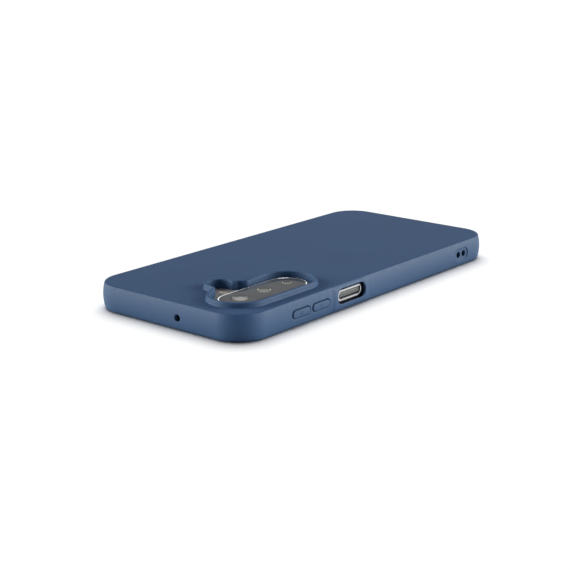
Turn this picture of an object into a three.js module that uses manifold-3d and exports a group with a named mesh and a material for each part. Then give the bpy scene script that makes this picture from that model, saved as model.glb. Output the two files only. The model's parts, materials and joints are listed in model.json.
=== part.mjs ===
// A smartphone lying screen down in a soft protective case.
// Millimetres. +Z is out of the phone's back, -Y is its camera end, +Y its charging end, +X its key side.
// The origin is under the middle of the case, on the plane that its front lip rests on.

import * as THREE from 'three';
import { mergeVertices } from 'three/addons/utils/BufferGeometryUtils.js';
import Module from 'manifold-3d';

const wasm = await Module();
wasm.setup();

// ---- driving dimensions ----

const gap = 0.3;

const caseSize = { length: 167, width: 80, height: 10.8, corner: 13 };
const caseWall = { side: 1.5, back: 1.4, lip: 1.3, lipReach: 1.8 };
const caseSide = { bulge: 1.5, flat: 0.4 };
const rim = { top: 13, wall: 2.1, round: 0.9 };

const phoneFront = 1.5;
const phoneBack = 9.3;
const caseFit = 0.25;
const phoneHalf = {
  x: caseSize.width / 2 - caseWall.side - caseFit,
  y: caseSize.length / 2 - caseWall.side - caseFit,
};
const phoneCorner = 11.25;
const frameWall = 2.05;
const frameTop = 8.65;
const coverThickness = 0.55;

const lensColumn = { x: 22.8, first: -65, pitch: 13.5 };
const island = {
  y: -52,
  halfLength: 21.9,
  radius: 8,
  top: 11.2,
  ring: 0.7,
  flange: 0.8,
  flangeBottom: 7.95,
  flangeTop: 8.45,
  glassBottom: 10.1,
};

// Round corners of the camera window, anticlockwise: a lobe bulges out of the window, a nose into it.
const windowCorners = [
  { x: lensColumn.x, y: -65, r: 10.6, kind: 'lobe' },
  { x: lensColumn.x, y: -38, r: 10.6, kind: 'lobe' },
  { x: 10.6, y: -49, r: 2.4, kind: 'nose' },
  { x: 12.6, y: -53.9, r: 3, kind: 'lobe' },
  { x: 8.9, y: -53.6, r: 0.5, kind: 'nose' },
  { x: 6.6, y: -58.6, r: 4.6, kind: 'lobe' },
  { x: 9.2, y: -65.9, r: 2.2, kind: 'nose' },
];
const flash = {
  x: 8.3,
  y: -58.4,
  radius: 2.1,
  windowLayer: [8.6, 9.25],
  ledHalf: 1.6,
  ledLayer: [8, 8.45],
};
const rearMicrophone = { x: 12.4, y: -54.2, radius: 0.5 };

const keyHeight = 5.4;
const volumePad = {
  halfLength: 5.1,
  halfHeight: 1.45,
  groove: 0.4,
  flange: 0.65,
  web: 0.35,
  proud: 0.45,
  upY: -50.1,
  downY: -38.2,
};
const volumeKey = { halfLength: 4.5, halfHeight: 1.1, slot: 0.3 };
const powerWindow = { y: -19.15, z: 5.95, halfLength: 8.75, halfHeight: 3.05, corner: 2.6 };
const powerBezel = { y: -18.6, z: 5.8, halfLength: 8, halfHeight: 2.4, corner: 2.1, wall: 1 };
const keyZone = { y: -19.5, z: 5.4, halfLength: 11.5, halfHeight: 2.9, proud: 0.35, ramp: 2.4 };

const strap = {
  y: 59.6,
  z: 5.4,
  halfLength: 5.1,
  halfHeight: 2.5,
  depth: 0.4,
  holeY: [57.5, 61.5],
  holeX: 0.95,
  holeZ: 1.2,
};
const port = {
  z: 5.4,
  back: 74.8,
  floor: 75.4,
  shellHalf: 4.47,
  shellHalfHeight: 1.63,
  shellWall: 0.32,
  clearance: 0.28,
  cutHalf: 6.8,
  cutHalfHeight: 3.2,
};
const portTongue = { halfWidth: 3.35, from: 75.7, to: 80.4, halfHeight: 0.35 };
const soundSlot = { x: 20, z: 5.4, halfLength: 7, halfHeight: 1.3, holes: 5, holePitch: 2.5 };
const topMicrophone = { x: 7.8, z: 5 };
const bottomMicrophone = { x: -13, z: 5.4 };
const microphoneHole = { inCase: 1.1, inFrame: 0.5 };
const simSlot = { y: -56, z: 6, halfLength: 7.2, halfHeight: 0.9 };
const simBlade = { end: -22.6, margin: 0.9, halfThickness: 0.35, window: { x: [-34.5, -24], halfY: 5 } };
const simCage = { x: [-35.4, -21], halfY: 7.4, slotEnd: -22.2, slotHalfY: 6.7, slotHalfZ: 0.65 };

// Heights of the layers inside the phone, from the screen up.
const glassLayer = [1.55, 2.25];
const panelLayer = [2.4, 3.1];
const plateLayer = [3.3, 4];
const moduleFloor = 4.3;
const boardBottom = 4.35;
const boardTop = 5.05;
const partBottom = boardTop + 0.15;
const coilLayer = [8, 8.2];
const flexLayer = [8.1, 8.22];
const graphiteLayer = [8.35, 8.47];
const bracketBottom = 7.05;
const bracketTop = 7.85;
const screwPlaces = {
  upper_screw: [[-31, -71], [9.5, -70.5], [-31, -32], [9.5, -32]],
  lower_screw: [[-29, 70], [3.5, 70]],
};
const screw = {
  head: 1.2,
  shank: 0.55,
  hole: 0.85,
  headHeight: 0.45,
  tip: 4.2,
  bitHalf: 0.7,
  bitWall: 0.15,
};

// ---- finishes ----

function finish(color, roughness, metalness = 0) {
  return new THREE.MeshStandardMaterial({ color, roughness, metalness });
}

const silicone = finish('#4a5f7d', 0.75);
const aluminium = finish('#8d9096', 0.4, 0.9);
const chrome = finish('#d9dbde', 0.12, 1);
const steel = finish('#b4b7bb', 0.3, 1);
const darkGlass = finish('#1b1d20', 0.08);
const satinPlastic = finish('#4c4f55', 0.5);
const blackPlastic = finish('#15161a', 0.6);
const clearPlastic = finish('#e8e6dc', 0.2);
const circuitBoard = finish('#12382c', 0.55);
const batteryFoil = finish('#202226', 0.45);
const copper = finish('#b56a3c', 0.35, 1);
const graphite = finish('#2a2b2d', 0.5);
const polyimide = finish('#7a3d12', 0.4);

// ---- outlines ----

// How far a chord may stand off the arc that it replaces.
const chordError = 0.05;

function addArc(points, x, y, r, from, to) {
  const largestStep = 2 * Math.acos(Math.max(0.7, 1 - chordError / r));
  const steps = Math.max(1, Math.ceil(Math.abs(to - from) / largestStep - 0.001));
  for (let i = 0; i <= steps; i += 1) {
    const angle = from + ((to - from) * i) / steps;
    points.push(new THREE.Vector2(x + r * Math.cos(angle), y + r * Math.sin(angle)));
  }
}

// A rectangle with round corners, centred on (x, y). It is a round-ended slot when r is its half height.
function roundRect(halfX, halfY, r, x = 0, y = 0) {
  const points = [];
  const corners = [[1, 1], [-1, 1], [-1, -1], [1, -1]];
  corners.forEach(([sideX, sideY], i) => {
    const start = (i * Math.PI) / 2;
    addArc(points, x + sideX * (halfX - r), y + sideY * (halfY - r), r, start, start + Math.PI / 2);
  });
  const apart = points.filter((point, i) => point.distanceTo(points[(i + 1) % points.length]) > 0.001);
  return new THREE.Shape(apart);
}

function slot(halfX, halfY, x = 0, y = 0) {
  return roundRect(halfX, halfY, Math.min(halfX, halfY), x, y);
}

function disc(r, x = 0, y = 0) {
  return roundRect(r, r, r, x, y);
}

// The closed line that runs tangent from each round corner to the next, moved outwards by grow.
// A nose that is too tight for the move drops out.
function cornerOutline(corners, grow) {
  const circles = [];
  for (const corner of corners) {
    const turn = corner.kind === 'lobe' ? 1 : -1;
    const r = corner.r + turn * grow;
    if (r > 0.05) {
      circles.push({ x: corner.x, y: corner.y, r, turn });
    }
  }
  const headings = circles.map((from, i) => {
    const to = circles[(i + 1) % circles.length];
    const dx = to.x - from.x;
    const dy = to.y - from.y;
    return Math.atan2(dy, dx) + Math.asin((from.r * from.turn - to.r * to.turn) / Math.hypot(dx, dy));
  });
  const points = [];
  circles.forEach((circle, i) => {
    const arrive = headings[(i + circles.length - 1) % circles.length];
    let turned = headings[i] - arrive;
    turned -= 2 * Math.PI * Math.round(turned / (2 * Math.PI));
    if (turned * circle.turn < 0) {
      turned += 2 * Math.PI * circle.turn;
    }
    const start = arrive - (circle.turn * Math.PI) / 2;
    addArc(points, circle.x, circle.y, circle.r, start, start + turned);
  });
  return new THREE.Shape(points);
}

// ---- solids ----

function upright(shape, bottom, top, edge = 0, edgeSize = edge, edgeSteps = 1) {
  const geometry = new THREE.ExtrudeGeometry(shape, {
    depth: top - bottom - 2 * edge,
    steps: 1,
    bevelEnabled: edge > 0,
    bevelThickness: edge,
    bevelSize: edgeSize,
    bevelOffset: -edgeSize,
    bevelSegments: edgeSteps,
  });
  return geometry.translate(0, 0, bottom + edge);
}

// The outline's axes are Y and Z, and it is pushed along X.
function alongX(shape, from, to, edge = 0, edgeSize = edge) {
  const turn = new THREE.Matrix4().makeBasis(
    new THREE.Vector3(0, 1, 0),
    new THREE.Vector3(0, 0, 1),
    new THREE.Vector3(1, 0, 0),
  );
  return upright(shape, from, to, edge, edgeSize).applyMatrix4(turn);
}

// The outline's axes are X and Z, and it is pushed along Y.
function alongY(shape, from, to, edge = 0) {
  return upright(shape, -to, -from, edge).rotateX(Math.PI / 2);
}

function block(x0, x1, y0, y1, z0, z1) {
  const geometry = new THREE.BoxGeometry(x1 - x0, y1 - y0, z1 - z0);
  return geometry.translate((x0 + x1) / 2, (y0 + y1) / 2, (z0 + z1) / 2);
}

function toManifold(geometry) {
  const bare = geometry.clone();
  bare.deleteAttribute('normal');
  bare.deleteAttribute('uv');
  const merged = mergeVertices(bare);
  return new wasm.Manifold(new wasm.Mesh({
    numProp: 3,
    vertProperties: Float32Array.from(merged.attributes.position.array),
    triVerts: Uint32Array.from(merged.index.array),
  }));
}

function toGeometry(manifold) {
  const mesh = manifold.getMesh();
  const geometry = new THREE.BufferGeometry();
  geometry.setAttribute('position', new THREE.BufferAttribute(mesh.vertProperties, 3));
  geometry.setIndex(new THREE.BufferAttribute(mesh.triVerts, 1));
  geometry.computeVertexNormals();
  return geometry;
}

function join(...geometries) {
  return toGeometry(geometries.map(toManifold).reduce((all, next) => all.add(next)));
}

function cut(geometry, ...tools) {
  const start = toManifold(geometry);
  return toGeometry(tools.map(toManifold).reduce((left, tool) => left.subtract(tool), start));
}

const phone = new THREE.Group();

function piece(name, geometry, material, group = phone) {
  const mesh = new THREE.Mesh(geometry, material);
  mesh.name = name;
  group.add(mesh);
}

// ---- protective case ----

const caseHalf = { x: caseSize.width / 2, y: caseSize.length / 2 };
const cavityHalf = { x: caseHalf.x - caseWall.side, y: caseHalf.y - caseWall.side };
const cavityCorner = caseSize.corner - caseWall.side;
const cavityTop = caseSize.height - caseWall.back;

function caseShell() {
  const sideRise = (caseSize.height - caseSide.flat) / 2;
  const outline = roundRect(caseHalf.x, caseHalf.y, caseSize.corner);
  const body = upright(outline, 0, caseSize.height, sideRise, caseSide.bulge, 5);
  const collarOutline = cornerOutline(windowCorners, rim.wall);
  const collar = upright(collarOutline, cavityTop + 0.2, rim.top, rim.round, rim.round, 2);
  const zoneOutline = roundRect(keyZone.halfLength, keyZone.halfHeight, 2.6, keyZone.y, keyZone.z);
  const zoneTop = caseHalf.x + keyZone.proud;
  const zone = alongX(zoneOutline, zoneTop - 1.5, zoneTop, keyZone.proud, keyZone.ramp);
  const cavity = upright(roundRect(cavityHalf.x, cavityHalf.y, cavityCorner), caseWall.lip, cavityTop);
  const lipX = cavityHalf.x - caseWall.lipReach;
  const lipY = cavityHalf.y - caseWall.lipReach;
  const lipOutline = roundRect(lipX, lipY, cavityCorner - caseWall.lipReach);
  const screenOpening = upright(lipOutline, -1, caseWall.lip + 0.2);
  const cameraWindow = upright(cornerOutline(windowCorners, 0), cavityTop - 0.5, rim.top + 1);
  return cut(join(body, collar, zone), cavity, screenOpening, cameraWindow, ...sideCuts(), ...endCuts());
}

function sideCuts() {
  const outside = caseHalf.x + 2;
  const tools = [];
  const { halfLength, halfHeight, groove, flange } = volumePad;
  for (const y of [volumePad.upY, volumePad.downY]) {
    const pocket = slot(halfLength + flange + gap, halfHeight + flange + gap, y, keyHeight);
    tools.push(alongX(pocket, cavityHalf.x - 0.2, cavityHalf.x + 0.75));
    tools.push(alongX(slot(halfLength + groove, halfHeight + groove, y, keyHeight), cavityHalf.x, outside));
  }
  const { y, z, corner } = powerWindow;
  const keyWindow = roundRect(powerWindow.halfLength, powerWindow.halfHeight, corner, y, z);
  tools.push(alongX(keyWindow, cavityHalf.x - 1, outside));
  const strapDish = slot(strap.halfLength, strap.halfHeight, strap.y, strap.z);
  tools.push(alongX(strapDish, caseHalf.x - strap.depth, outside));
  for (const holeY of strap.holeY) {
    tools.push(alongX(slot(strap.holeX, strap.holeZ, holeY, strap.z), cavityHalf.x - 1, outside));
  }
  return tools;
}

function endCuts() {
  const inside = cavityHalf.y - 1;
  const outside = caseHalf.y + 1;
  return [
    alongY(disc(microphoneHole.inCase, topMicrophone.x, topMicrophone.z), -outside, -inside),
    alongY(disc(microphoneHole.inCase, bottomMicrophone.x, bottomMicrophone.z), inside, outside),
    alongY(slot(port.cutHalf, port.cutHalfHeight, 0, port.z), inside, outside),
    alongY(slot(soundSlot.halfLength, soundSlot.halfHeight, soundSlot.x, soundSlot.z), inside, outside),
  ];
}

function volumePadSolid(y) {
  const { halfLength, halfHeight, flange, web, proud } = volumePad;
  const back = cavityHalf.x + 0.1;
  const flangeOutline = slot(halfLength + flange, halfHeight + flange, y, keyHeight);
  const bossOutline = slot(halfLength, halfHeight, y, keyHeight);
  return join(
    alongX(flangeOutline, back, back + web),
    alongX(bossOutline, back + 0.1, caseHalf.x + proud, 0.3),
  );
}

piece('case_shell', caseShell(), silicone);
piece('volume_up_pad', volumePadSolid(volumePad.upY), silicone);
piece('volume_down_pad', volumePadSolid(volumePad.downY), silicone);

// ---- housing ----

const frameInner = {
  x: phoneHalf.x - frameWall,
  y: phoneHalf.y - frameWall,
  corner: phoneCorner - frameWall,
};
const glassLedge = phoneFront + 1;
const glassRebate = 0.55;
const slotGap = 0.3;
const speakerHole = 0.65;

function simOutline(grow) {
  return slot(simSlot.halfLength + grow, simSlot.halfHeight + grow, simSlot.y, simSlot.z);
}

function portOutline(grow) {
  return slot(port.shellHalf + grow, port.shellHalfHeight + grow, 0, port.z);
}

// The inner outline of the frame, moved inwards.
function inFrame(inset) {
  return roundRect(frameInner.x - inset, frameInner.y - inset, frameInner.corner - inset);
}

function sideFrame() {
  const { halfLength, halfHeight, slot: keyGap } = volumeKey;
  const ring = upright(roundRect(phoneHalf.x, phoneHalf.y, phoneCorner), phoneFront, frameTop, 0.3);
  const inside = phoneHalf.x - frameWall - 1;
  const outside = phoneHalf.x + 1;
  const endInside = phoneHalf.y - frameWall - 1;
  const endOutside = phoneHalf.y + 1;
  const tools = [
    upright(inFrame(0), glassLedge - 0.5, frameTop + 1),
    upright(inFrame(glassRebate - frameWall), phoneFront - 1, glassLedge),
    alongX(roundRect(
      powerBezel.halfLength + 0.25,
      powerBezel.halfHeight + 0.25,
      powerBezel.corner + 0.25,
      powerBezel.y,
      powerBezel.z,
    ), inside, outside),
    alongX(simOutline(slotGap), -outside, -inside),
    alongY(portOutline(port.clearance), endInside, endOutside),
    alongY(disc(microphoneHole.inFrame, topMicrophone.x, topMicrophone.z), -endOutside, -endInside),
    alongY(disc(microphoneHole.inFrame, bottomMicrophone.x, bottomMicrophone.z), endInside, endOutside),
  ];
  for (const y of [volumePad.upY, volumePad.downY]) {
    tools.push(alongX(slot(halfLength + keyGap, halfHeight + keyGap, y, keyHeight), inside, outside));
  }
  for (let i = 0; i < soundSlot.holes; i += 1) {
    const x = soundSlot.x + (i - (soundSlot.holes - 1) / 2) * soundSlot.holePitch;
    tools.push(alongY(disc(speakerHole, x, soundSlot.z), endInside, endOutside));
  }
  return cut(ring, ...tools);
}

function backCover() {
  const outline = roundRect(phoneHalf.x, phoneHalf.y, phoneCorner);
  const bottom = phoneBack - coverThickness;
  const passage = island.radius + gap;
  return cut(
    upright(outline, bottom, phoneBack, 0.2),
    upright(slot(passage, island.halfLength + gap, lensColumn.x, island.y), bottom - 1, phoneBack + 1),
    upright(disc(flash.radius + gap, flash.x, flash.y), bottom - 1, phoneBack + 1),
    upright(disc(rearMicrophone.radius, rearMicrophone.x, rearMicrophone.y), bottom - 1, phoneBack + 1),
  );
}

const frontCamera = { x: 0, y: -73.2, half: 2.7, lens: 1.9, lensFront: 2.45, top: 6.9 };

const layerInset = 0.4;
const portNotch = { halfWidth: 6, from: 73.8 };

function displayPanel() {
  const panel = upright(inFrame(layerInset), ...panelLayer);
  return cut(panel, upright(disc(frontCamera.lens + gap, frontCamera.x, frontCamera.y), 2, 4));
}

function midPlate() {
  const plate = upright(inFrame(layerInset), ...plateLayer);
  const { halfWidth, from } = portNotch;
  const notch = block(-halfWidth, halfWidth, from, 90, 3, 5);
  return cut(plate, upright(disc(frontCamera.lens + gap, frontCamera.x, frontCamera.y), 3, 5), notch);
}

const glassInset = 0.85;

piece('side_frame', sideFrame(), aluminium);
piece('back_cover', backCover(), satinPlastic);
piece('display_glass', upright(inFrame(glassInset - frameWall), ...glassLayer), darkGlass);
piece('display_panel', displayPanel(), blackPlastic);
piece('mid_plate', midPlate(), aluminium);

// ---- rear cameras ----

const islandRingInner = island.radius - island.ring;
const islandStraight = island.halfLength - island.radius;

function islandFrame() {
  const { x } = lensColumn;
  const { flange: reach, flangeBottom, flangeTop } = island;
  const ringOutline = slot(island.radius, island.halfLength, x, island.y);
  const ring = upright(ringOutline, flangeBottom + 0.05, island.top, 0.2);
  const flangeRadius = island.radius + reach;
  const flangeOutline = slot(flangeRadius, islandStraight + flangeRadius, x, island.y);
  const flange = upright(flangeOutline, flangeBottom, flangeTop);
  const hollowOutline = slot(islandRingInner, islandStraight + islandRingInner, x, island.y);
  const hollow = upright(hollowOutline, flangeBottom - 1, island.top + 1);
  return cut(join(ring, flange), hollow);
}

function islandGlass() {
  const r = islandRingInner - 0.2;
  const outline = slot(r, islandStraight + r, lensColumn.x, island.y);
  return upright(outline, island.glassBottom, island.top - 0.1, 0.1);
}

function lensY(index) {
  return lensColumn.first + index * lensColumn.pitch;
}

const sideCameras = {
  bodyTop: 8,
  tubeTop: 9.5,
  ultrawide: { half: 4.3, tube: 3.6 },
  macro: { half: 3.3, tube: 2.5 },
};

// A square camera module with a round lens tube standing on it.
function cameraModule(y, { half, tube: tubeRadius }) {
  const { x } = lensColumn;
  const { bodyTop, tubeTop } = sideCameras;
  const body = block(x - half, x + half, y - half, y + half, moduleFloor, bodyTop);
  const tube = upright(disc(tubeRadius, x, y), bodyTop - 0.3, tubeTop);
  const dish = upright(disc(tubeRadius - 0.7, x, y), tubeTop - 0.6, tubeTop + 1);
  return cut(join(body, tube), dish);
}

const mainCamera = {
  half: 5.5,
  bodyTop: 9.2,
  bore: 4,
  floor: 5.2,
  barrel: 3.6,
  barrelBottom: 5.5,
  barrelTop: 9.4,
};

function mainCameraBody() {
  const { x } = lensColumn;
  const y = lensY(1);
  const { half, bodyTop, bore, floor } = mainCamera;
  const body = block(x - half, x + half, y - half, y + half, moduleFloor, bodyTop);
  return cut(body, upright(disc(bore, x, y), floor, bodyTop + 1));
}

function mainLensBarrel() {
  const { barrel, barrelBottom, barrelTop } = mainCamera;
  const height = barrelTop - barrelBottom;
  const profile = [
    new THREE.Vector2(0, 0),
    new THREE.Vector2(barrel, 0),
    new THREE.Vector2(barrel, height - 0.2),
    new THREE.Vector2(barrel - 0.2, height),
    new THREE.Vector2(barrel - 0.6, height),
    new THREE.Vector2(barrel - 1.1, height - 0.7),
    new THREE.Vector2(barrel - 1.8, height - 0.45),
    new THREE.Vector2(0, height - 0.25),
  ];
  const geometry = new THREE.LatheGeometry(profile, 24).rotateX(Math.PI / 2);
  return geometry.translate(lensColumn.x, lensY(1), barrelBottom);
}

function flashWindow() {
  return upright(disc(flash.radius, flash.x, flash.y), ...flash.windowLayer, 0.1);
}

function flashLed() {
  const { x, y, ledHalf } = flash;
  return block(x - ledHalf, x + ledHalf, y - ledHalf, y + ledHalf, ...flash.ledLayer);
}

piece('camera_island_frame', islandFrame(), chrome);
piece('camera_cover_glass', islandGlass(), darkGlass);
piece('ultrawide_camera', cameraModule(lensY(0), sideCameras.ultrawide), blackPlastic);
piece('main_camera_body', mainCameraBody(), blackPlastic);
piece('main_lens_barrel', mainLensBarrel(), blackPlastic);
piece('macro_camera', cameraModule(lensY(2), sideCameras.macro), blackPlastic);
piece('flash_window', flashWindow(), clearPlastic);
piece('flash_led', flashLed(), clearPlastic);

// ---- side keys ----

const bezelFront = phoneHalf.x + 0.5;
const bezelDepth = 1.6;
const keySide = frameInner.x;
const keySwitchHalf = { y: 1.5, z: 1.1 };
const sideFlex = { from: -56, to: -12, back: 0.95, front: 0.75, bottom: 4.3, top: 7.2 };

function powerKeyBezel() {
  const { y, z, halfLength, halfHeight, corner, wall } = powerBezel;
  const outline = roundRect(halfLength, halfHeight, corner, y, z);
  const ring = alongX(outline, bezelFront - bezelDepth, bezelFront, 0.25);
  const hole = roundRect(halfLength - wall, halfHeight - wall, corner - wall, y, z);
  return cut(ring, alongX(hole, bezelFront - 2, bezelFront + 1));
}

function powerKeyPart(from, to, edge) {
  const { y, z, halfLength, halfHeight, corner, wall } = powerBezel;
  const inset = wall + gap;
  return alongX(roundRect(halfLength - inset, halfHeight - inset, corner - inset, y, z), from, to, edge);
}

function volumeKeySolid(y) {
  const outline = slot(volumeKey.halfLength, volumeKey.halfHeight, y, keyHeight);
  return alongX(outline, keySide + 0.3, phoneHalf.x + 0.05, 0.15);
}

function keySwitch(y, z) {
  const half = keySwitchHalf;
  return block(keySide - 0.6, keySide, y - half.y, y + half.y, z - half.z, z + half.z);
}

function sideKeyFlex() {
  const { from, to, back, front, bottom, top } = sideFlex;
  return block(keySide - back, keySide - front, from, to, bottom, top);
}

piece('power_key_bezel', powerKeyBezel(), chrome);
piece('power_key', powerKeyPart(keySide + 0.3, bezelFront - 0.9, 0), blackPlastic);
piece('fingerprint_sensor', powerKeyPart(bezelFront - 0.85, bezelFront - 0.45, 0.1), satinPlastic);
piece('power_key_switch', keySwitch(powerBezel.y, powerBezel.z), steel);
piece('volume_up_key', volumeKeySolid(volumePad.upY), aluminium);
piece('volume_down_key', volumeKeySolid(volumePad.downY), aluminium);
piece('volume_up_switch', keySwitch(volumePad.upY, keyHeight), steel);
piece('volume_down_switch', keySwitch(volumePad.downY, keyHeight), steel);
piece('side_key_flex', sideKeyFlex(), polyimide);

// ---- boards, battery and leads ----

function screwHoles(places, bottom, top) {
  return places.map(([x, y]) => upright(disc(screw.hole, x, y), bottom - 1, top + 1));
}

// A plate is a rounded rectangle: half sizes, corner radius and centre.
const plates = {
  mainBoard: [23.5, 26.5, 7, -11, -50.3],
  subBoard: [33.5, 9.5, 4, 0, 65],
  upperBracket: [23, 22.5, 5, -11, -51.5],
  lowerBracket: [20, 3.75, 2, -13, 69.75],
  coilOuter: [13, 14, 4, -15, -46],
  coilInner: [10.5, 11.5, 2.5, -15, -46],
  battery: [32.5, 37, 2.5, 0, 15.5],
  processorShield: [14, 12, 1, -4, -56],
  powerShield: [10.5, 7.5, 1, -17.5, -36],
  graphite: [30, 31.5, 3, 0, 13.5],
};
const boardArm = { x: [5, 34], y: [-31, -23.8] };
const frontCameraNotch = { half: 7.2, to: -70.1 };
const motorNotch = { x: -13, y: [50, 64.5] };
const flexRun = { x: [-6, 4], upper: [-27.5, -24.8], lower: [56, 59] };
const batteryTop = 8;
const shieldTop = { processor: 6.8, power: 6.6 };
const connector = { x: [12, 19], y: [-29.5, -25.5], top: 6.4 };

function plate(outline, bottom, top) {
  return upright(roundRect(...outline), bottom, top);
}

function mainBoard() {
  const body = plate(plates.mainBoard, boardBottom, boardTop);
  const arm = block(...boardArm.x, ...boardArm.y, boardBottom, boardTop);
  const { half, to } = frontCameraNotch;
  const notch = block(-half, half, -90, to, boardBottom - 1, boardTop + 1);
  return cut(join(body, arm), notch, ...screwHoles(screwPlaces.upper_screw, boardBottom, boardTop));
}

function subBoard() {
  const body = plate(plates.subBoard, boardBottom, boardTop);
  const notch = block(-40, motorNotch.x, ...motorNotch.y, boardBottom - 1, boardTop + 1);
  return cut(body, notch, ...screwHoles(screwPlaces.lower_screw, boardBottom, boardTop));
}

function bracket(outline, places) {
  return cut(plate(outline, bracketBottom, bracketTop), ...screwHoles(places, bracketBottom, bracketTop));
}

function nfcCoil() {
  const [bottom, top] = coilLayer;
  return cut(plate(plates.coilOuter, bottom, top), plate(plates.coilInner, bottom - 1, top + 1));
}

function mainFlex() {
  const { x, upper, lower } = flexRun;
  const [bottom, top] = flexLayer;
  const sheet = block(...x, upper[0], lower[0] + 1, bottom, top);
  return join(
    sheet,
    block(...x, ...upper, partBottom, top),
    block(...x, ...lower, partBottom, top),
  );
}

const cableRadius = 0.4;

function coaxCable() {
  const route = new THREE.CatmullRomCurve3([
    new THREE.Vector3(-31, -27, 5.8),
    new THREE.Vector3(-33.4, -25, 5.8),
    new THREE.Vector3(-34.4, -20, 5.6),
    new THREE.Vector3(-34.4, 50, 5.6),
    new THREE.Vector3(-33.6, 60, 5.8),
    new THREE.Vector3(-32, 66.5, 5.8),
  ]);
  const section = new THREE.Shape();
  section.absarc(0, 0, cableRadius, 0, 2 * Math.PI);
  return new THREE.ExtrudeGeometry(section, {
    steps: 16,
    curveSegments: 3,
    bevelEnabled: false,
    extrudePath: route,
  });
}

function screwSolid(x, y) {
  const { bitHalf, bitWall } = screw;
  const headBottom = bracketTop + 0.1;
  const bitFloor = bracketTop + 0.35;
  const shank = upright(disc(screw.shank, x, y), screw.tip, headBottom + 0.2);
  const head = upright(disc(screw.head, x, y), headBottom, headBottom + screw.headHeight);
  const bit = block(x - bitHalf, x + bitHalf, y - bitWall, y + bitWall, bitFloor, bitFloor + 1);
  const crossBit = block(x - bitWall, x + bitWall, y - bitHalf, y + bitHalf, bitFloor, bitFloor + 1);
  return cut(join(shank, head), bit, crossBit);
}

piece('battery', plate(plates.battery, screw.tip, batteryTop), batteryFoil);
piece('main_board', mainBoard(), circuitBoard);
piece('sub_board', subBoard(), circuitBoard);
piece('processor_shield', plate(plates.processorShield, partBottom, shieldTop.processor), steel);
piece('power_shield', plate(plates.powerShield, partBottom, shieldTop.power), steel);
piece('upper_bracket', bracket(plates.upperBracket, screwPlaces.upper_screw), blackPlastic);
piece('lower_bracket', bracket(plates.lowerBracket, screwPlaces.lower_screw), blackPlastic);
piece('nfc_coil', nfcCoil(), copper);
piece('graphite_sheet', plate(plates.graphite, ...graphiteLayer), graphite);
piece('battery_connector', block(...connector.x, ...connector.y, partBottom, connector.top), blackPlastic);
piece('main_flex', mainFlex(), polyimide);
piece('coax_cable', coaxCable(), blackPlastic);
for (const [family, places] of Object.entries(screwPlaces)) {
  places.forEach(([x, y], i) => piece(`${family}_${i + 1}`, screwSolid(x, y), steel));
}

// ---- sound, vibration and front camera ----

const speaker = {
  x: 21.5,
  y: 68.5,
  halfX: 11.5,
  halfY: 10,
  top: 8.4,
  cupY: 66,
  cupHalfX: 7,
  cupHalfY: 5,
  cupFloor: 6.4,
  ductHalfX: 5.5,
  ductTop: 7.2,
  cone: [7.45, 7.65],
  domeInset: 2.2,
  domeTop: 7.9,
};
const earpiece = { halfX: 6.2, y: -77.75, halfY: 1.5, top: 6.6, cupTop: 6, cone: [5, 5.2] };
const motor = {
  y: 59.5,
  z: 6.3,
  radius: 2,
  shaft: 0.35,
  bore: 0.42,
  can: [-24, -15],
  boreEnd: -20,
  shaftEnds: [-29.5, -20.4],
  weight: [-29, -24.6],
};

function loudspeakerBox() {
  const { x, y, halfX, halfY, top, cupY, cupHalfX, cupHalfY, cupFloor, ductHalfX, ductTop } = speaker;
  const box = upright(roundRect(halfX, halfY, 6, x, y), partBottom, top);
  const cup = upright(roundRect(cupHalfX, cupHalfY, 2.5, x, cupY), cupFloor, top + 1);
  const duct = block(x - ductHalfX, x + ductHalfX, cupY, y + halfY + 1, cupFloor, ductTop);
  return cut(box, cup, duct);
}

function loudspeakerDiaphragm() {
  const { x, cupY, cupHalfX, cupHalfY, cone, domeInset, domeTop } = speaker;
  const flat = upright(roundRect(cupHalfX - gap, cupHalfY - gap, 2.2, x, cupY), ...cone);
  const domeOutline = roundRect(cupHalfX - domeInset, cupHalfY - domeInset, 2, x, cupY);
  return join(flat, upright(domeOutline, cone[0] + 0.05, domeTop));
}

function earpieceSpeaker() {
  const { halfX, y, halfY, top, cupTop } = earpiece;
  const box = block(-halfX, halfX, y - halfY, y + halfY, moduleFloor, top);
  return cut(box, block(0.5 - halfX, halfX - 0.5, y - halfY + 0.4, y + halfY - 0.4, 3, cupTop));
}

function earpieceDiaphragm() {
  const { halfX, y, halfY, cone } = earpiece;
  return block(0.8 - halfX, halfX - 0.8, y - halfY + 0.7, y + halfY - 0.7, ...cone);
}

function frontCameraModule() {
  const { x, y, half, lens, lensFront, top } = frontCamera;
  return join(
    block(x - half, x + half, y - half, y + half, moduleFloor, top),
    upright(disc(lens, x, y), lensFront, moduleFloor + 0.2),
  );
}

function vibrationMotor() {
  const { can, boreEnd } = motor;
  const body = alongX(disc(motor.radius, motor.y, motor.z), ...can);
  return cut(body, alongX(disc(motor.bore, motor.y, motor.z), can[0] - 1, boreEnd));
}

// The half-round weight hangs under its shaft.
function motorRotor() {
  const { y, z, radius, weight: ends } = motor;
  const shaft = alongX(disc(motor.shaft, y, z), ...motor.shaftEnds);
  const weight = cut(
    alongX(disc(radius - 0.1, y, z), ...ends),
    block(ends[0] - 1, ends[1] + 0.6, y - 3, y + 3, z + 0.15, z + 3),
  );
  return join(shaft, weight);
}

// Each can is given by its ends along X, Y and Z.
const microphones = {
  top: [6.9, 10.1, -79.2, -76.6, partBottom, 6.2],
  bottom: [-14.8, -11.2, 75.4, 78.8, 4.4, 5.7],
};

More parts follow.
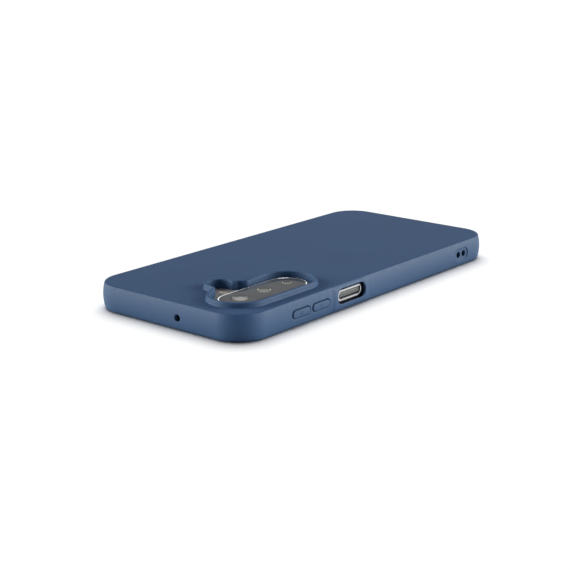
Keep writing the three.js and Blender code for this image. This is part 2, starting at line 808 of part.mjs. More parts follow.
piece('loudspeaker_box', loudspeakerBox(), blackPlastic);
piece('loudspeaker_diaphragm', loudspeakerDiaphragm(), blackPlastic);
piece('earpiece_speaker', earpieceSpeaker(), blackPlastic);
piece('earpiece_diaphragm', earpieceDiaphragm(), blackPlastic);
piece('front_camera', frontCameraModule(), blackPlastic);
piece('vibration_motor', vibrationMotor(), steel);
piece('motor_rotor', motorRotor(), steel);
piece('top_microphone', block(...microphones.top), steel);
piece('bottom_microphone', block(...microphones.bottom), steel);

// ---- charging port and SIM tray ----

function portShell() {
  const outer = alongY(portOutline(0), port.back, phoneHalf.y - 0.15);
  return cut(outer, alongY(portOutline(-port.shellWall), port.floor, phoneHalf.y + 1));
}

function portTongueSolid() {
  const { halfWidth, from, to, halfHeight } = portTongue;
  return block(-halfWidth, halfWidth, from, to, port.z - halfHeight, port.z + halfHeight);
}

function simTray() {
  const { y, z, halfLength } = simSlot;
  const { end, margin, halfThickness, window } = simBlade;
  const face = alongX(simOutline(0), -phoneHalf.x, -phoneHalf.x + 1.2);
  const half = halfLength - margin;
  const blade = block(-phoneHalf.x + 1, end, y - half, y + half, z - halfThickness, z + halfThickness);
  const cardWindow = block(...window.x, y - window.halfY, y + window.halfY, z - 0.1, z + 1);
  return cut(join(face, blade), cardWindow);
}

function simReader() {
  const { y, z } = simSlot;
  const { x, halfY, slotEnd, slotHalfY, slotHalfZ } = simCage;
  const cage = block(...x, y - halfY, y + halfY, partBottom, bracketBottom - 0.15);
  const mouth = block(-40, slotEnd, y - slotHalfY, y + slotHalfY, z - slotHalfZ, z + slotHalfZ);
  return cut(cage, mouth);
}

piece('usb_port_shell', portShell(), steel);
piece('usb_port_tongue', portTongueSolid(), blackPlastic);
piece('sim_tray', simTray(), aluminium);
piece('sim_reader', simReader(), steel);

export default phone;
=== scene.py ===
# A smartphone lying screen down in a soft silicone case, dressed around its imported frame.
# Meshes are laid out in millimetres and brought to metres when an object is made.
import json
import math

import bmesh
import bpy
from mathutils import Matrix, Vector
from mathutils.geometry import delaunay_2d_cdt

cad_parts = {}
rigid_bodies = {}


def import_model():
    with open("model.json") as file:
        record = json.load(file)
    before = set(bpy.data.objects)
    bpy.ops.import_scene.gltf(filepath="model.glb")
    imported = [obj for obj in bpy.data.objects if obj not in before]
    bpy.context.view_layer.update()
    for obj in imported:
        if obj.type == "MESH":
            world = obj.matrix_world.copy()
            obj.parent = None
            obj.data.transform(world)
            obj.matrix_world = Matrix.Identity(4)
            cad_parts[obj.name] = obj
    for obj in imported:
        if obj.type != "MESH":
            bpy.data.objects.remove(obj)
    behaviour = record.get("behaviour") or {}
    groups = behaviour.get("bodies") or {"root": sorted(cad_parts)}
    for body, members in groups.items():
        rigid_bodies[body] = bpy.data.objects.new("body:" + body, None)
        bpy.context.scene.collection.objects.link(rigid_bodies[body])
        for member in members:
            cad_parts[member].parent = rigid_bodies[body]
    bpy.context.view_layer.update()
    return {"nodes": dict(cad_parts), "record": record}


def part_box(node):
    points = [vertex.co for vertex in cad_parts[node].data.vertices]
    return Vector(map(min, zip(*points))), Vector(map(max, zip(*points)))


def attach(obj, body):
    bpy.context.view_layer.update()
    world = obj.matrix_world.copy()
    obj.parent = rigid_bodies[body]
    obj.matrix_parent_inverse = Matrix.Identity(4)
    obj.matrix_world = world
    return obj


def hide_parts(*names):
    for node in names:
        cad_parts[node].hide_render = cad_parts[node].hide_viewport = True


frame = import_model()
nodes = frame["nodes"]
metre = 1000.0


def cadSpan(node):
    low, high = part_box(node)
    return low * metre, high * metre


print("frame loaded")


# Angles in degrees, lengths in millimetres.
studio = {
    "azimuth": 39.07,
    "elevation": 15.24,
    "distance": 560.9,
    "target": (0.0, 0.0, 5.5),
    "aimLeft": 0.803,
    "aimDown": 0.762,
    "roll": -0.32,
    "lens": 84.5,
    "sensor": 36.0,
    "floorHalf": 4.0,
    "floorColor": (0.95, 0.95, 0.95),
    "worldColor": (1.0, 1.0, 1.0),
    "worldStrength": 0.25,
}

chromePieces = ["powerBezelModel", "islandFrameModel"]
warmSide = {"angle": 45.0, "tint": (1.0, 0.95, 0.84), "skip": ["floor"] + chromePieces}
softLights = [
    {"name": "endLight", "azimuth": -52.0, "elevation": 11.0, "strength": 7.7, **warmSide},
    {"name": "keyLight", "azimuth": 133.0, "elevation": 11.0, "strength": 7.5, **warmSide},
    {
        "name": "floorLight", "azimuth": 222.0, "elevation": 66.0, "strength": 2.95, "angle": 58.0,
        "only": ["floor"],
    },
    {
        "name": "chromeLight", "azimuth": 70.0, "elevation": 58.0, "strength": 1.4, "angle": 50.0,
        "only": chromePieces,
    },
    {
        "name": "edgeLight", "azimuth": -141.0, "elevation": 18.0, "strength": 0.45, "angle": 40.0,
        "only": ["islandFrameModel"],
    },
    {
        "name": "fillLight", "azimuth": 39.0, "elevation": 85.0, "strength": 0.6, "angle": 60.0,
        "tint": (0.05, 0.45, 1.0), "only": ["protectiveCase"],
    },
]


def towards(azimuth, elevation):
    a, e = math.radians(azimuth), math.radians(elevation)
    return Vector((math.sin(a) * math.cos(e), -math.cos(a) * math.cos(e), math.sin(e)))


def lookRotation(direction, roll):
    forward = direction.normalized()
    right = forward.cross(Vector((0, 0, 1))).normalized()
    up = right.cross(forward)
    basis = Matrix((right, up, -forward)).transposed().to_4x4()
    return basis @ Matrix.Rotation(math.radians(roll), 4, "Z")


def placeCamera():
    camera = bpy.data.objects.new("camera", bpy.data.cameras.new("camera"))
    bpy.context.scene.collection.objects.link(camera)
    away = towards(studio["azimuth"], studio["elevation"])
    place = (Vector(studio["target"]) + away * studio["distance"]) / metre
    aim = -towards(studio["azimuth"] + studio["aimLeft"], studio["elevation"] + studio["aimDown"])
    camera.matrix_world = Matrix.Translation(place) @ lookRotation(aim, studio["roll"])
    camera.data.lens = studio["lens"]
    camera.data.sensor_width = studio["sensor"]
    camera.data.clip_start = 0.01
    camera.data.clip_end = 20.0
    bpy.context.scene.camera = camera


def placeLight(settings):
    light = bpy.data.lights.new(settings["name"], "SUN")
    light.angle = math.radians(settings["angle"])
    light.energy = settings["strength"]
    light.color = settings.get("tint", (1.0, 1.0, 1.0))
    holder = bpy.data.objects.new(settings["name"], light)
    bpy.context.scene.collection.objects.link(holder)
    away = towards(settings["azimuth"], settings["elevation"])
    holder.matrix_world = Matrix.Translation(away) @ lookRotation(-away, 0.0)


def linkLight(settings):
    # Keeps a light to the objects it is meant for, once they are all made.
    names = settings.get("only") or settings.get("skip")
    group = bpy.data.collections.new(settings["name"] + "Receivers")
    for name in names:
        group.objects.link(bpy.data.objects[name])
    bpy.data.objects[settings["name"]].light_linking.receiver_collection = group
    for member in group.collection_objects:
        member.light_linking.link_state = "INCLUDE" if "only" in settings else "EXCLUDE"


def makeFloor():
    mesh = bpy.data.meshes.new("floor")
    half = studio["floorHalf"]
    corners = [(-half, -half, 0), (half, -half, 0), (half, half, 0), (-half, half, 0)]
    mesh.from_pydata(corners, [], [(0, 1, 2, 3)])
    floor = bpy.data.objects.new("floor", mesh)
    bpy.context.scene.collection.objects.link(floor)
    paper = bpy.data.materials.new("floorPaper")
    paper.use_nodes = True
    shader = paper.node_tree.nodes["Principled BSDF"]
    shader.inputs["Base Color"].default_value = (*studio["floorColor"], 1)
    shader.inputs["Roughness"].default_value = 0.9
    shader.inputs["Specular IOR Level"].default_value = 0.1
    mesh.materials.append(paper)


def makeWorld():
    world = bpy.data.worlds.new("studioWorld")
    world.use_nodes = True
    sky = world.node_tree.nodes["Background"]
    sky.inputs["Color"].default_value = (*studio["worldColor"], 1)
    sky.inputs["Strength"].default_value = studio["worldStrength"]
    scene = bpy.context.scene
    scene.world = world
    scene.view_settings.view_transform = "Standard"
    scene.view_settings.look = "None"


placeCamera()
makeFloor()
makeWorld()
for settings in softLights:
    placeLight(settings)
print("studio set")


class Surface:
    # A Principled shader with a short way to add nodes and links to it.
    def __init__(self, name):
        self.material = bpy.data.materials.new(name)
        self.material.use_nodes = True
        self.tree = self.material.node_tree
        self.shader = self.tree.nodes["Principled BSDF"]
        self.coords = self.tree.nodes.new("ShaderNodeTexCoord")

    def set(self, **values):
        for label, value in values.items():
            socket = self.shader.inputs[label.replace("_", " ")]
            socket.default_value = (*value, 1) if isinstance(value, tuple) else value
        return self

    def noise(self, scale, detail=2.0, stretch=(1, 1, 1)):
        mapping = self.tree.nodes.new("ShaderNodeMapping")
        mapping.inputs["Scale"].default_value = stretch
        self.tree.links.new(self.coords.outputs["Object"], mapping.inputs["Vector"])
        texture = self.tree.nodes.new("ShaderNodeTexNoise")
        texture.inputs["Scale"].default_value = scale
        texture.inputs["Detail"].default_value = detail
        self.tree.links.new(mapping.outputs["Vector"], texture.inputs["Vector"])
        return texture.outputs["Fac"]

    def ramp(self, source, low, high, lowPlace=0.3, highPlace=0.7):
        ramp = self.tree.nodes.new("ShaderNodeValToRGB")
        ramp.color_ramp.elements[0].position = lowPlace
        ramp.color_ramp.elements[1].position = highPlace
        ramp.color_ramp.elements[0].color = (*low, 1)
        ramp.color_ramp.elements[1].color = (*high, 1)
        self.tree.links.new(source, ramp.inputs["Fac"])
        return ramp.outputs["Color"]

    def colour(self, source, low, high):
        self.tree.links.new(self.ramp(source, low, high), self.shader.inputs["Base Color"])
        return self

    def rough(self, source, low, high):
        span = self.tree.nodes.new("ShaderNodeMapRange")
        span.inputs["From Min"].default_value = 0.3
        span.inputs["From Max"].default_value = 0.7
        span.inputs["To Min"].default_value = low
        span.inputs["To Max"].default_value = high
        self.tree.links.new(source, span.inputs["Value"])
        self.tree.links.new(span.outputs["Result"], self.shader.inputs["Roughness"])
        return self

    def distanceFrom(self, centre):
        # Distance in metres from an upright line through this centre.
        mapping = self.tree.nodes.new("ShaderNodeMapping")
        mapping.inputs["Location"].default_value = (-centre[0] / metre, -centre[1] / metre, 0)
        mapping.inputs["Scale"].default_value = (1, 1, 0)
        self.tree.links.new(self.coords.outputs["Object"], mapping.inputs["Vector"])
        length = self.tree.nodes.new("ShaderNodeVectorMath")
        length.operation = "LENGTH"
        self.tree.links.new(mapping.outputs["Vector"], length.inputs[0])
        return length.outputs["Value"]

    def scaled(self, source, factor):
        times = self.tree.nodes.new("ShaderNodeMath")
        times.operation = "MULTIPLY"
        times.inputs[1].default_value = factor
        self.tree.links.new(source, times.inputs[0])
        return times.outputs["Value"]

    def bump(self, source, strength, distance):
        bump = self.tree.nodes.new("ShaderNodeBump")
        bump.inputs["Strength"].default_value = strength
        bump.inputs["Distance"].default_value = distance
        self.tree.links.new(source, bump.inputs["Height"])
        if self.shader.inputs["Normal"].links:
            self.tree.links.new(self.shader.inputs["Normal"].links[0].from_socket, bump.inputs["Normal"])
        self.tree.links.new(bump.outputs["Normal"], self.shader.inputs["Normal"])
        return self


def shade(color, factor):
    return tuple(min(1.0, c * factor) for c in color)


def softSilicone():
    s = Surface("softSilicone")
    base = (0.017, 0.048, 0.113)
    s.set(Sheen_Weight=0.018, Sheen_Roughness=0.4, Specular_IOR_Level=0.22)
    s.colour(s.noise(35, 3), shade(base, 0.96), shade(base, 1.04))
    s.rough(s.noise(900, 2), 0.56, 0.66)
    s.bump(s.noise(5200, 2), 0.12, 0.00003)
    return s.material


def satinAluminium():
    s = Surface("satinAluminium").set(Metallic=1.0)
    # Near-black: partly a dark frame finish, partly painted shade, so the frame seen through the case's
    # openings reads as the deep shade inside them.
    s.colour(s.noise(60, 2), (0.028, 0.029, 0.032), (0.035, 0.036, 0.039))
    s.rough(s.noise(6000, 2), 0.34, 0.38)
    s.bump(s.noise(9000, 2), 0.04, 0.00001)
    return s.material


def polishedChrome():
    s = Surface("polishedChrome").set(Metallic=1.0)
    s.colour(s.noise(80, 2), (0.6, 0.61, 0.63), (0.66, 0.67, 0.69))
    s.rough(s.noise(1200, 2), 0.2, 0.27)
    return s.material


def stampedSteel():
    s = Surface("stampedSteel").set(Metallic=1.0)
    s.colour(s.noise(90, 3), (0.5, 0.5, 0.51), (0.62, 0.62, 0.63))
    s.rough(s.noise(1500, 3, (1, 12, 1)), 0.22, 0.4)
    s.bump(s.noise(3000, 2, (1, 12, 1)), 0.1, 0.00001)
    return s.material


def cameraGlass():
    s = Surface("cameraGlass").set(Coat_Weight=0.4, Coat_Roughness=0.05, Specular_IOR_Level=0.5)
    s.colour(s.noise(50, 2), (0.046, 0.054, 0.067), (0.055, 0.064, 0.078))
    s.rough(s.noise(700, 2), 0.1, 0.18)
    return s.material


def displayGlass():
    s = Surface("displayGlass").set(Coat_Weight=0.6, Coat_Roughness=0.02, Specular_IOR_Level=0.5)
    s.colour(s.noise(20, 1), (0.006, 0.006, 0.007), (0.01, 0.01, 0.011))
    s.rough(s.noise(300, 2), 0.04, 0.08)
    return s.material


def backPlastic():
    s = Surface("backPlastic").set(Coat_Weight=0.3, Coat_Roughness=0.2)
    s.colour(s.noise(40, 2), (0.2, 0.21, 0.23), (0.23, 0.24, 0.26))
    s.rough(s.noise(1200, 2), 0.3, 0.42)
    return s.material


def sensorFace():
    s = Surface("sensorFace").set(Specular_IOR_Level=0.4)
    s.colour(s.noise(4200, 2), (0.024, 0.027, 0.032), (0.07, 0.077, 0.09))
    s.rough(s.noise(2500, 2), 0.4, 0.55)
    s.bump(s.noise(6500, 2), 0.35, 0.00003)
    return s.material


def blackPlastic():
    s = Surface("blackPlastic")
    s.colour(s.noise(120, 2), (0.014, 0.014, 0.016), (0.022, 0.022, 0.024))
    s.rough(s.noise(1500, 2), 0.45, 0.6)
    s.bump(s.noise(4000, 2), 0.15, 0.00002)
    return s.material


def milkyDiffuser():
    s = Surface("milkyDiffuser").set(Coat_Weight=0.8, Coat_Roughness=0.05)
    s.colour(s.noise(500, 2), (0.4, 0.385, 0.35), (0.47, 0.45, 0.41))
    s.rough(s.noise(900, 2), 0.15, 0.3)
    return s.material


def solderMask():
    s = Surface("solderMask").set(Coat_Weight=0.4, Coat_Roughness=0.15)
    s.colour(s.noise(700, 4), (0.012, 0.07, 0.045), (0.03, 0.13, 0.08))
    s.rough(s.noise(900, 3), 0.3, 0.5)
    s.bump(s.noise(1500, 3), 0.2, 0.00002)
    return s.material


def batteryFoil():
    s = Surface("batteryFoil")
    s.colour(s.noise(60, 3), (0.02, 0.02, 0.023), (0.035, 0.035, 0.038))
    s.rough(s.noise(300, 3), 0.3, 0.5)
    s.bump(s.noise(250, 3), 0.2, 0.00005)
    return s.material


def bareCopper():
    s = Surface("bareCopper").set(Metallic=1.0)
    s.colour(s.noise(200, 3), (0.66, 0.33, 0.17), (0.78, 0.44, 0.26))
    s.rough(s.noise(1500, 3), 0.2, 0.4)
    return s.material


def graphiteFilm():
    s = Surface("graphiteFilm").set(Metallic=0.3)
    s.colour(s.noise(400, 4), (0.03, 0.03, 0.032), (0.06, 0.06, 0.062))
    s.rough(s.noise(900, 3), 0.35, 0.55)
    return s.material


def amberFilm():
    s = Surface("amberFilm").set(Coat_Weight=0.5, Coat_Roughness=0.1)
    s.colour(s.noise(300, 3), (0.3, 0.11, 0.02), (0.46, 0.2, 0.05))
    s.rough(s.noise(700, 3), 0.25, 0.4)
    return s.material


def paintedGlintLens(name, centre, reach, tint):
    # Painted reflection: a pale disc, palest at the centre, that fades into the dark glass around it and
    # stands in for the light reflected in the lens.
    s = Surface(name).set(Coat_Weight=0.5, Coat_Roughness=0.05, Specular_IOR_Level=0.5)
    glintFade = s.ramp(s.scaled(s.distanceFrom(centre), metre / reach), tint, (0.055, 0.057, 0.061), 0.55, 1.0)
    s.tree.links.new(glintFade, s.shader.inputs["Base Color"])
    s.rough(s.noise(400, 1), 0.12, 0.2)
    return s.material


finishes = {
    "silicone": softSilicone(),
    "frame_aluminium": satinAluminium(),
    "chrome_trim": polishedChrome(),
    "steel": stampedSteel(),
    "camera_glass": cameraGlass(),
    "display_glass": displayGlass(),
    "back_plastic": backPlastic(),
    "sensor_face": sensorFace(),
    "black_plastic": blackPlastic(),
    "diffuser": milkyDiffuser(),
    "circuit_board": solderMask(),
    "battery_foil": batteryFoil(),
    "copper": bareCopper(),
    "graphite": graphiteFilm(),
    "flex_film": amberFilm(),
}
slotOf = {part["node"]: part["material_slot"] for part in frame["record"]["subparts"]}
for nodeName, nodeObject in nodes.items():
    for materialSlot in nodeObject.material_slots:
        materialSlot.material = finishes[slotOf[nodeName]]
print("materials made")


# Outlines are lists of (u, v) in millimetres, anticlockwise.
def arc(x, y, r, start, end, step):
    count = max(2, math.ceil(abs(end - start) * r / step))
    angles = [start + (end - start) * i / count for i in range(count + 1)]
    return [(x + r * math.cos(a), y + r * math.sin(a)) for a in angles]


def line(start, end, step):
    count = max(1, round(math.dist(start, end) / step))
    return [
        (start[0] + (end[0] - start[0]) * i / count, start[1] + (end[1] - start[1]) * i / count)
        for i in range(1, count)
    ]


def roundRect(halfU, halfV, r, centre=(0.0, 0.0), straightStep=50.0, arcCount=8):
    # Every call with the same steps gives points that match one to one.
    points = []
    quarter = math.pi / 2
    signs = [(1, 1), (-1, 1), (-1, -1), (1, -1)]
    straights = [2 * (halfU - r), 2 * (halfV - r)]
    for i, (su, sv) in enumerate(signs):
        cu, cv = centre[0] + su * (halfU - r), centre[1] + sv * (halfV - r)
        points += arc(cu, cv, r, i * quarter, (i + 1) * quarter, r * quarter / arcCount)
        nu, nv = signs[(i + 1) % 4]
        nextStart = (centre[0] + nu * (halfU - r), centre[1] + nv * (halfV - r))
        turn = (i + 1) * quarter
        shift = (r * math.cos(turn), r * math.sin(turn))
        count = max(1, round(straights[i % 2] / straightStep))
        for k in range(1, count):
            t = k / count
            points.append((cu + (nextStart[0] - cu) * t + shift[0], cv + (nextStart[1] - cv) * t + shift[1]))
    clean = []
    for p in points:
        if not clean or math.dist(p, clean[-1]) > 1e-5:
            clean.append(p)
    if math.dist(clean[0], clean[-1]) < 1e-5:
        clean.pop()
    return clean


def beltOutline(corners, step):
    # The line tangent from each round corner to the next: lobes bulge out of the window, noses into it.
    turns = [1 if corner["kind"] == "lobe" else -1 for corner in corners]
    headings = []
    for i, corner in enumerate(corners):
        after = corners[(i + 1) % len(corners)]
        dx, dy = after["x"] - corner["x"], after["y"] - corner["y"]
        lean = (corner["r"] * turns[i] - after["r"] * turns[(i + 1) % len(corners)]) / math.hypot(dx, dy)
        headings.append(math.atan2(dy, dx) + math.asin(max(-1.0, min(1.0, lean))))
    points = []
    for i, corner in enumerate(corners):
        start = headings[i - 1] - turns[i] * math.pi / 2
        turned = (headings[i] - headings[i - 1]) * turns[i] % (2 * math.pi) * turns[i]
        stretch = arc(corner["x"], corner["y"], corner["r"], start, start + turned, step)
        if points:
            points += line(points[-1], stretch[0], step)
        points += stretch
    points += line(points[-1], points[0], step)
    return [p for p, q in zip(points, points[1:] + points[:1]) if math.dist(p, q) > 0.02]


def growOutline(base, grow, rounds=2):
    # Moves an outline outwards, drops what would cross itself and rounds the cusps that are left.
    if grow == 0:
        return base
    moved = []
    for i, p in enumerate(base):
        before, after = base[i - 1], base[(i + 1) % len(base)]
        run = math.dist(before, after)
        q = (p[0] + grow * (after[1] - before[1]) / run, p[1] - grow * (after[0] - before[0]) / run)
        if min(math.dist(q, other) for other in base) > grow - 0.02:
            moved.append(q)
    for _ in range(rounds):
        moved = [
            tuple((a[k] + 2 * b[k] + c[k]) / 4 for k in (0, 1))
            for a, b, c in zip(moved[-1:] + moved[:-1], moved, moved[1:] + moved[:1])
        ]
    return moved


def makeObject(name, shell, slotName, body, replaced=(), smoothAngle=35.0, material=None):
    mesh = bpy.data.meshes.new(name)
    mesh.from_pydata([tuple(c / metre for c in v) for v in shell.vertices], [], shell.faces)
    bm = bmesh.new()
    bm.from_mesh(mesh)
    bmesh.ops.remove_doubles(bm, verts=bm.verts, dist=1e-7)
    bmesh.ops.recalc_face_normals(bm, faces=bm.faces)
    bm.to_mesh(mesh)
    bm.free()
    piece = bpy.data.objects.new(name, mesh)
    bpy.context.scene.collection.objects.link(piece)
    mesh.materials.append(material or finishes[slotName])
    smooth(mesh, smoothAngle)
    dress(piece, body, replaced)
    return piece


def smooth(mesh, angle):
    mesh.polygons.foreach_set("use_smooth", [True] * len(mesh.polygons))
    mesh.set_sharp_from_angle(angle=math.radians(angle))


def dress(piece, body, replaced):
    if body:
        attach(piece, body)
    if replaced:
        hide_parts(*replaced)


class Shell:
    # Collects rings of points and the faces between them.
    def __init__(self):
        self.vertices = []
        self.faces = []

    def ring(self, points):
        start = len(self.vertices)
        self.vertices += points
        return list(range(start, start + len(points)))

    def band(self, a, b):
        count = len(a)
        for i in range(count):
            j = (i + 1) % count
            self.faces.append((a[i], a[j], b[j], b[i]))

    def loft(self, rings):
        made = [self.ring(points) for points in rings]
        for a, b in zip(made, made[1:]):
            self.band(a, b)
        return made

    def cap(self, ring):
        self.faces.append(tuple(ring))

    def zip(self, a, b):
        # Joins two loops that have different numbers of points by always taking the shorter diagonal.
        def gap(i, j):
            return math.dist(self.vertices[a[i % len(a)]], self.vertices[b[j % len(b)]])

        offset = min(range(len(b)), key=lambda j: gap(0, j))
        i = j = 0
        while i < len(a) or j < len(b):
            here = (a[i % len(a)], b[(j + offset) % len(b)])
            takeA = j >= len(b) or (i < len(a) and gap(i + 1, j + offset) < gap(i, j + 1 + offset))
            if takeA:
                self.faces.append((here[0], a[(i + 1) % len(a)], here[1]))
                i += 1
            else:
                self.faces.append((here[0], b[(j + 1 + offset) % len(b)], here[1]))
                j += 1

    def plane(self, outer, inner):
        # Fills the flat area between an outer loop and an inner one.
        loops = outer + inner
        flat = [Vector(self.vertices[k][:2]) for k in loops]
        first, second = len(outer), len(inner)
        edges = [(i, (i + 1) % first) for i in range(first)]
        edges += [(first + i, first + (i + 1) % second) for i in range(second)]
        points, _, faces, origins, _, _ = delaunay_2d_cdt(flat, edges, [], 1, 1e-6)
        hole = flat[first:]
        for face in faces:
            middle = sum((points[k] for k in face), Vector((0, 0))) / len(face)
            if not isInside(middle, hole):
                self.faces.append(tuple(loops[origins[k][0]] for k in face))


def isInside(point, loop):
    inside = False
    for a, b in zip(loop, loop[1:] + loop[:1]):
        if (a.y > point.y) != (b.y > point.y):
            if point.x < a.x + (b.x - a.x) * (point.y - a.y) / (b.y - a.y):
                inside = not inside
    return inside


def filletSteps(count):
    return [math.pi / 2 * i / count for i in range(count + 1)]


def wrapIn(points, z):
    return [(u, v, z) for u, v in points]


caseHigh = cadSpan("case_shell")[1]
case = {
    "halfX": 40.0,
    "halfY": caseHigh.y,
    "height": 10.8,
    "corner": 13.0,
    "bulge": 0.8,
    "topEdge": 0.75,
    "bottomEdge": 1.4,
    "wall": 1.5,
    "cavityTop": 9.4,
    "cavityMiddle": 6.0,
    "lipTop": 1.3,
    "lipInner": 3.3,
    "lipRound": 0.4,
    "footFlat": 0.15,
    "backGuard": 0.25,
    "straightStep": 0.6,
    "arcCount": 22,
}
keyZone = {"from": -30.3, "to": -8.7, "ramp": 1.8, "proud": 0.35, "low": (0.2, 1.4), "high": (9.4, 10.6)}
lensX = 22.8
windowCorners = [
    {"x": lensX - 0.55, "y": -65.0, "r": 11.15, "kind": "lobe"},
    {"x": lensX, "y": -38.0, "r": 10.6, "kind": "lobe"},
    {"x": 10.6, "y": -49.0, "r": 2.4, "kind": "nose"},
    {"x": 12.6, "y": -53.9, "r": 3.0, "kind": "lobe"},
    {"x": 8.9, "y": -53.6, "r": 0.5, "kind": "nose"},
    {"x": 6.35, "y": -58.6, "r": 4.8, "kind": "lobe"},
    {"x": 8.0, "y": -65.9, "r": 2.1, "kind": "nose"},
]
rim = {
    "top": caseHigh.z,
    "wallTop": 11.0,
    "innerRound": 0.4,
    "crest": 0.7,
    "outerRound": 0.5,
    "wallLean": 0.1,
    "foot": 0.4,
    "step": 0.45,
}


def ease(low, high, value):
    t = max(0.0, min(1.0, (value - low) / (high - low)))
    return t * t * (3 - 2 * t)


def sideInset(z):
    # How far the bulged side stands in from the widest line of the case, edge rounds included.
    half = case["height"] / 2
    for edge, fromEdge in ((case["topEdge"], case["height"] - z), (case["bottomEdge"], z)):
        start = edgeStart(edge)
        if fromEdge < start["rise"]:
            rise = edge - fromEdge
            return start["inset"] + edge * start["cos"] - math.sqrt(max(0.0, edge * edge - rise * rise))
    return case["bulge"] * ((z - half) / half) ** 2


def edgeStart(edge):
    # Where the bulged side turns into an edge round of this radius.
    half = case["height"] / 2
    rise = edge
    for _ in range(4):
        lean = math.atan(2 * case["bulge"] * (half - rise) / half**2)
        rise = edge * (1 - math.sin(lean))
    inset = case["bulge"] * ((half - rise) / half) ** 2
    return {"rise": rise, "inset": inset, "cos": math.cos(lean), "lean": lean}


def edgeRound(edge, count):
    # (inset, distance from the face) along an edge round, from the side to the flat face.
    start = edgeStart(edge)
    turn = math.pi / 2 - start["lean"]
    angles = [start["lean"] + turn * i / count for i in range(count + 1)]
    return [(start["inset"] + edge * (start["cos"] - math.cos(a)), edge * (1 - math.sin(a))) for a in angles]


def zoneRise(y, z):
    along = ease(keyZone["from"] - keyZone["ramp"] / 2, keyZone["from"] + keyZone["ramp"] / 2, y)
    along -= ease(keyZone["to"] - keyZone["ramp"] / 2, keyZone["to"] + keyZone["ramp"] / 2, y)
    return keyZone["proud"] * along * ease(*keyZone["low"], z) * (1 - ease(*keyZone["high"], z))


def caseRing(inset, z, outside=True):
    # A ring round the case with the point count of the outermost one, whatever the inset.
    steps = {"straightStep": case["straightStep"], "arcCount": case["arcCount"]}
    reference = roundRect(case["halfX"], case["halfY"], case["corner"], **steps)
    coreX, coreY = case["halfX"] - case["corner"], case["halfY"] - case["corner"]
    share = (case["corner"] - inset) / case["corner"]
    ring = []
    for x, y in reference:
        nearX, nearY = max(-coreX, min(coreX, x)), max(-coreY, min(coreY, y))
        px, py = nearX + (x - nearX) * share, nearY + (y - nearY) * share
        onKeySide = outside and x > case["halfX"] - 0.01
        ring.append((px + (zoneRise(py, z) if onKeySide else 0.0), py, z))
    return ring


def outerProfile():
    # (inset, z) from the lip's outer bottom edge, up the side, to the flat back.
    low = [(inset, depth) for inset, depth in reversed(edgeRound(case["bottomEdge"], 7))]
    high = [(inset, case["height"] - depth) for inset, depth in edgeRound(case["topEdge"], 6)]
    start, end = low[-1][1], high[0][1]
    middle = [start + (end - start) * i / 15 for i in range(1, 15)]
    return low + [(sideInset(z), z) for z in middle] + high


def rimProfile():
    # (grow, z) from the window's inner bottom edge, over the crest, to the flat back.
    top, foot = rim["top"], rim["foot"]
    profile = [(0.0, case["cavityTop"]), (0.0, case["cavityTop"] + 0.4), (0.0, rim["wallTop"])]
    r = rim["innerRound"]
    profile += [(r * (1 - math.cos(a)), top - r * (1 - math.sin(a))) for a in filletSteps(5)]
    r = rim["outerRound"]
    profile += [(rim["crest"] + r * math.sin(a), top - r * (1 - math.cos(a))) for a in filletSteps(6)]
    out, back = rim["crest"] + r + rim["wallLean"], case["height"]
    profile += [(out + foot * (1 - math.cos(a)), back + foot * (1 - math.sin(a))) for a in filletSteps(6)]
    return profile


def caseBody():
    shell = Shell()
    outer = outerProfile()
    last = outer[-1]
    lipFlat = outer[0][0] + case["footFlat"]
    inner = case["lipInner"]
    r = case["lipRound"]
    bottomIn = [(inner - r * (1 - math.sin(a)), r * (1 - math.cos(a))) for a in reversed(filletSteps(4))]
    cavity = case["wall"]
    profile = [
        (cavity, case["cavityTop"]),
        (cavity, case["cavityMiddle"]),
        (cavity, case["lipTop"]),
        (inner - 0.1, case["lipTop"]),
    ]
    rings = [caseRing(inset, z, outside=False) for inset, z in profile]
    rings += [caseRing(inset, z, outside=False) for inset, z in bottomIn]
    rings.append(caseRing(lipFlat, 0.0, outside=False))
    rings += [caseRing(inset, z) for inset, z in outer]
    rings.append(caseRing(last[0] + case["backGuard"], case["height"]))
    made = shell.loft(rings)
    window = beltOutline(windowCorners, rim["step"])
    rimRings = [shell.ring(wrapIn(growOutline(window, grow), z)) for grow, z in rimProfile()]
    guard = growOutline(window, rimProfile()[-1][0] + case["backGuard"])
    rimRings.append(shell.ring(wrapIn(guard, case["height"])))
    for a, b in zip(rimRings, rimRings[1:]):
        shell.zip(a, b)
    shell.plane(made[-1], rimRings[-1])
    shell.plane(made[0], rimRings[0])
    return shell


# Cutters are lofted with a mouth that flares, so that each opening gets a rounded edge.
mouthShape = {"share": 0.97, "flare": 1.1, "lip": 0.4, "top": 2.5}


def mouth(radius, depth):
    m = mouthShape
    steps = [(-radius * (1 - math.sin(a)), radius * (1 - math.cos(a))) for a in filletSteps(6)[:-1]]
    flare = radius * m["share"] + m["flare"]
    return [(-depth, 0.0)] + steps + [(m["lip"], flare), (m["top"], flare)]


def dishMouth(radius, depth, floorRound):
    r = floorRound
    floor = [(-depth + r * (1 - math.cos(a)), -r * (1 - math.sin(a))) for a in filletSteps(5)]
    return floor + mouth(radius, depth)[1:]


def onKeySide(u, v, depth):
    return (case["halfX"] - sideInset(v) + zoneRise(u, v) + depth, u, v)


def onPortEnd(u, v, depth):
    return (u, case["halfY"] - sideInset(v) + depth, v)


def onCameraEnd(u, v, depth):
    return (u, -(case["halfY"] - sideInset(v) + depth), v)


def onTop(u, v, depth):
    return (u, v, depth)


def layered(centre, halfU, halfV, corner, stations, place, arcCount=10):
    shell = Shell()
    rings = []
    for depth, grow in stations:
        outline = roundRect(halfU + grow, halfV + grow, max(0.02, corner + grow), centre, 50.0, arcCount)
        rings.append([place(u, v, depth) for u, v in outline])
    return shell, shell.loft(rings)


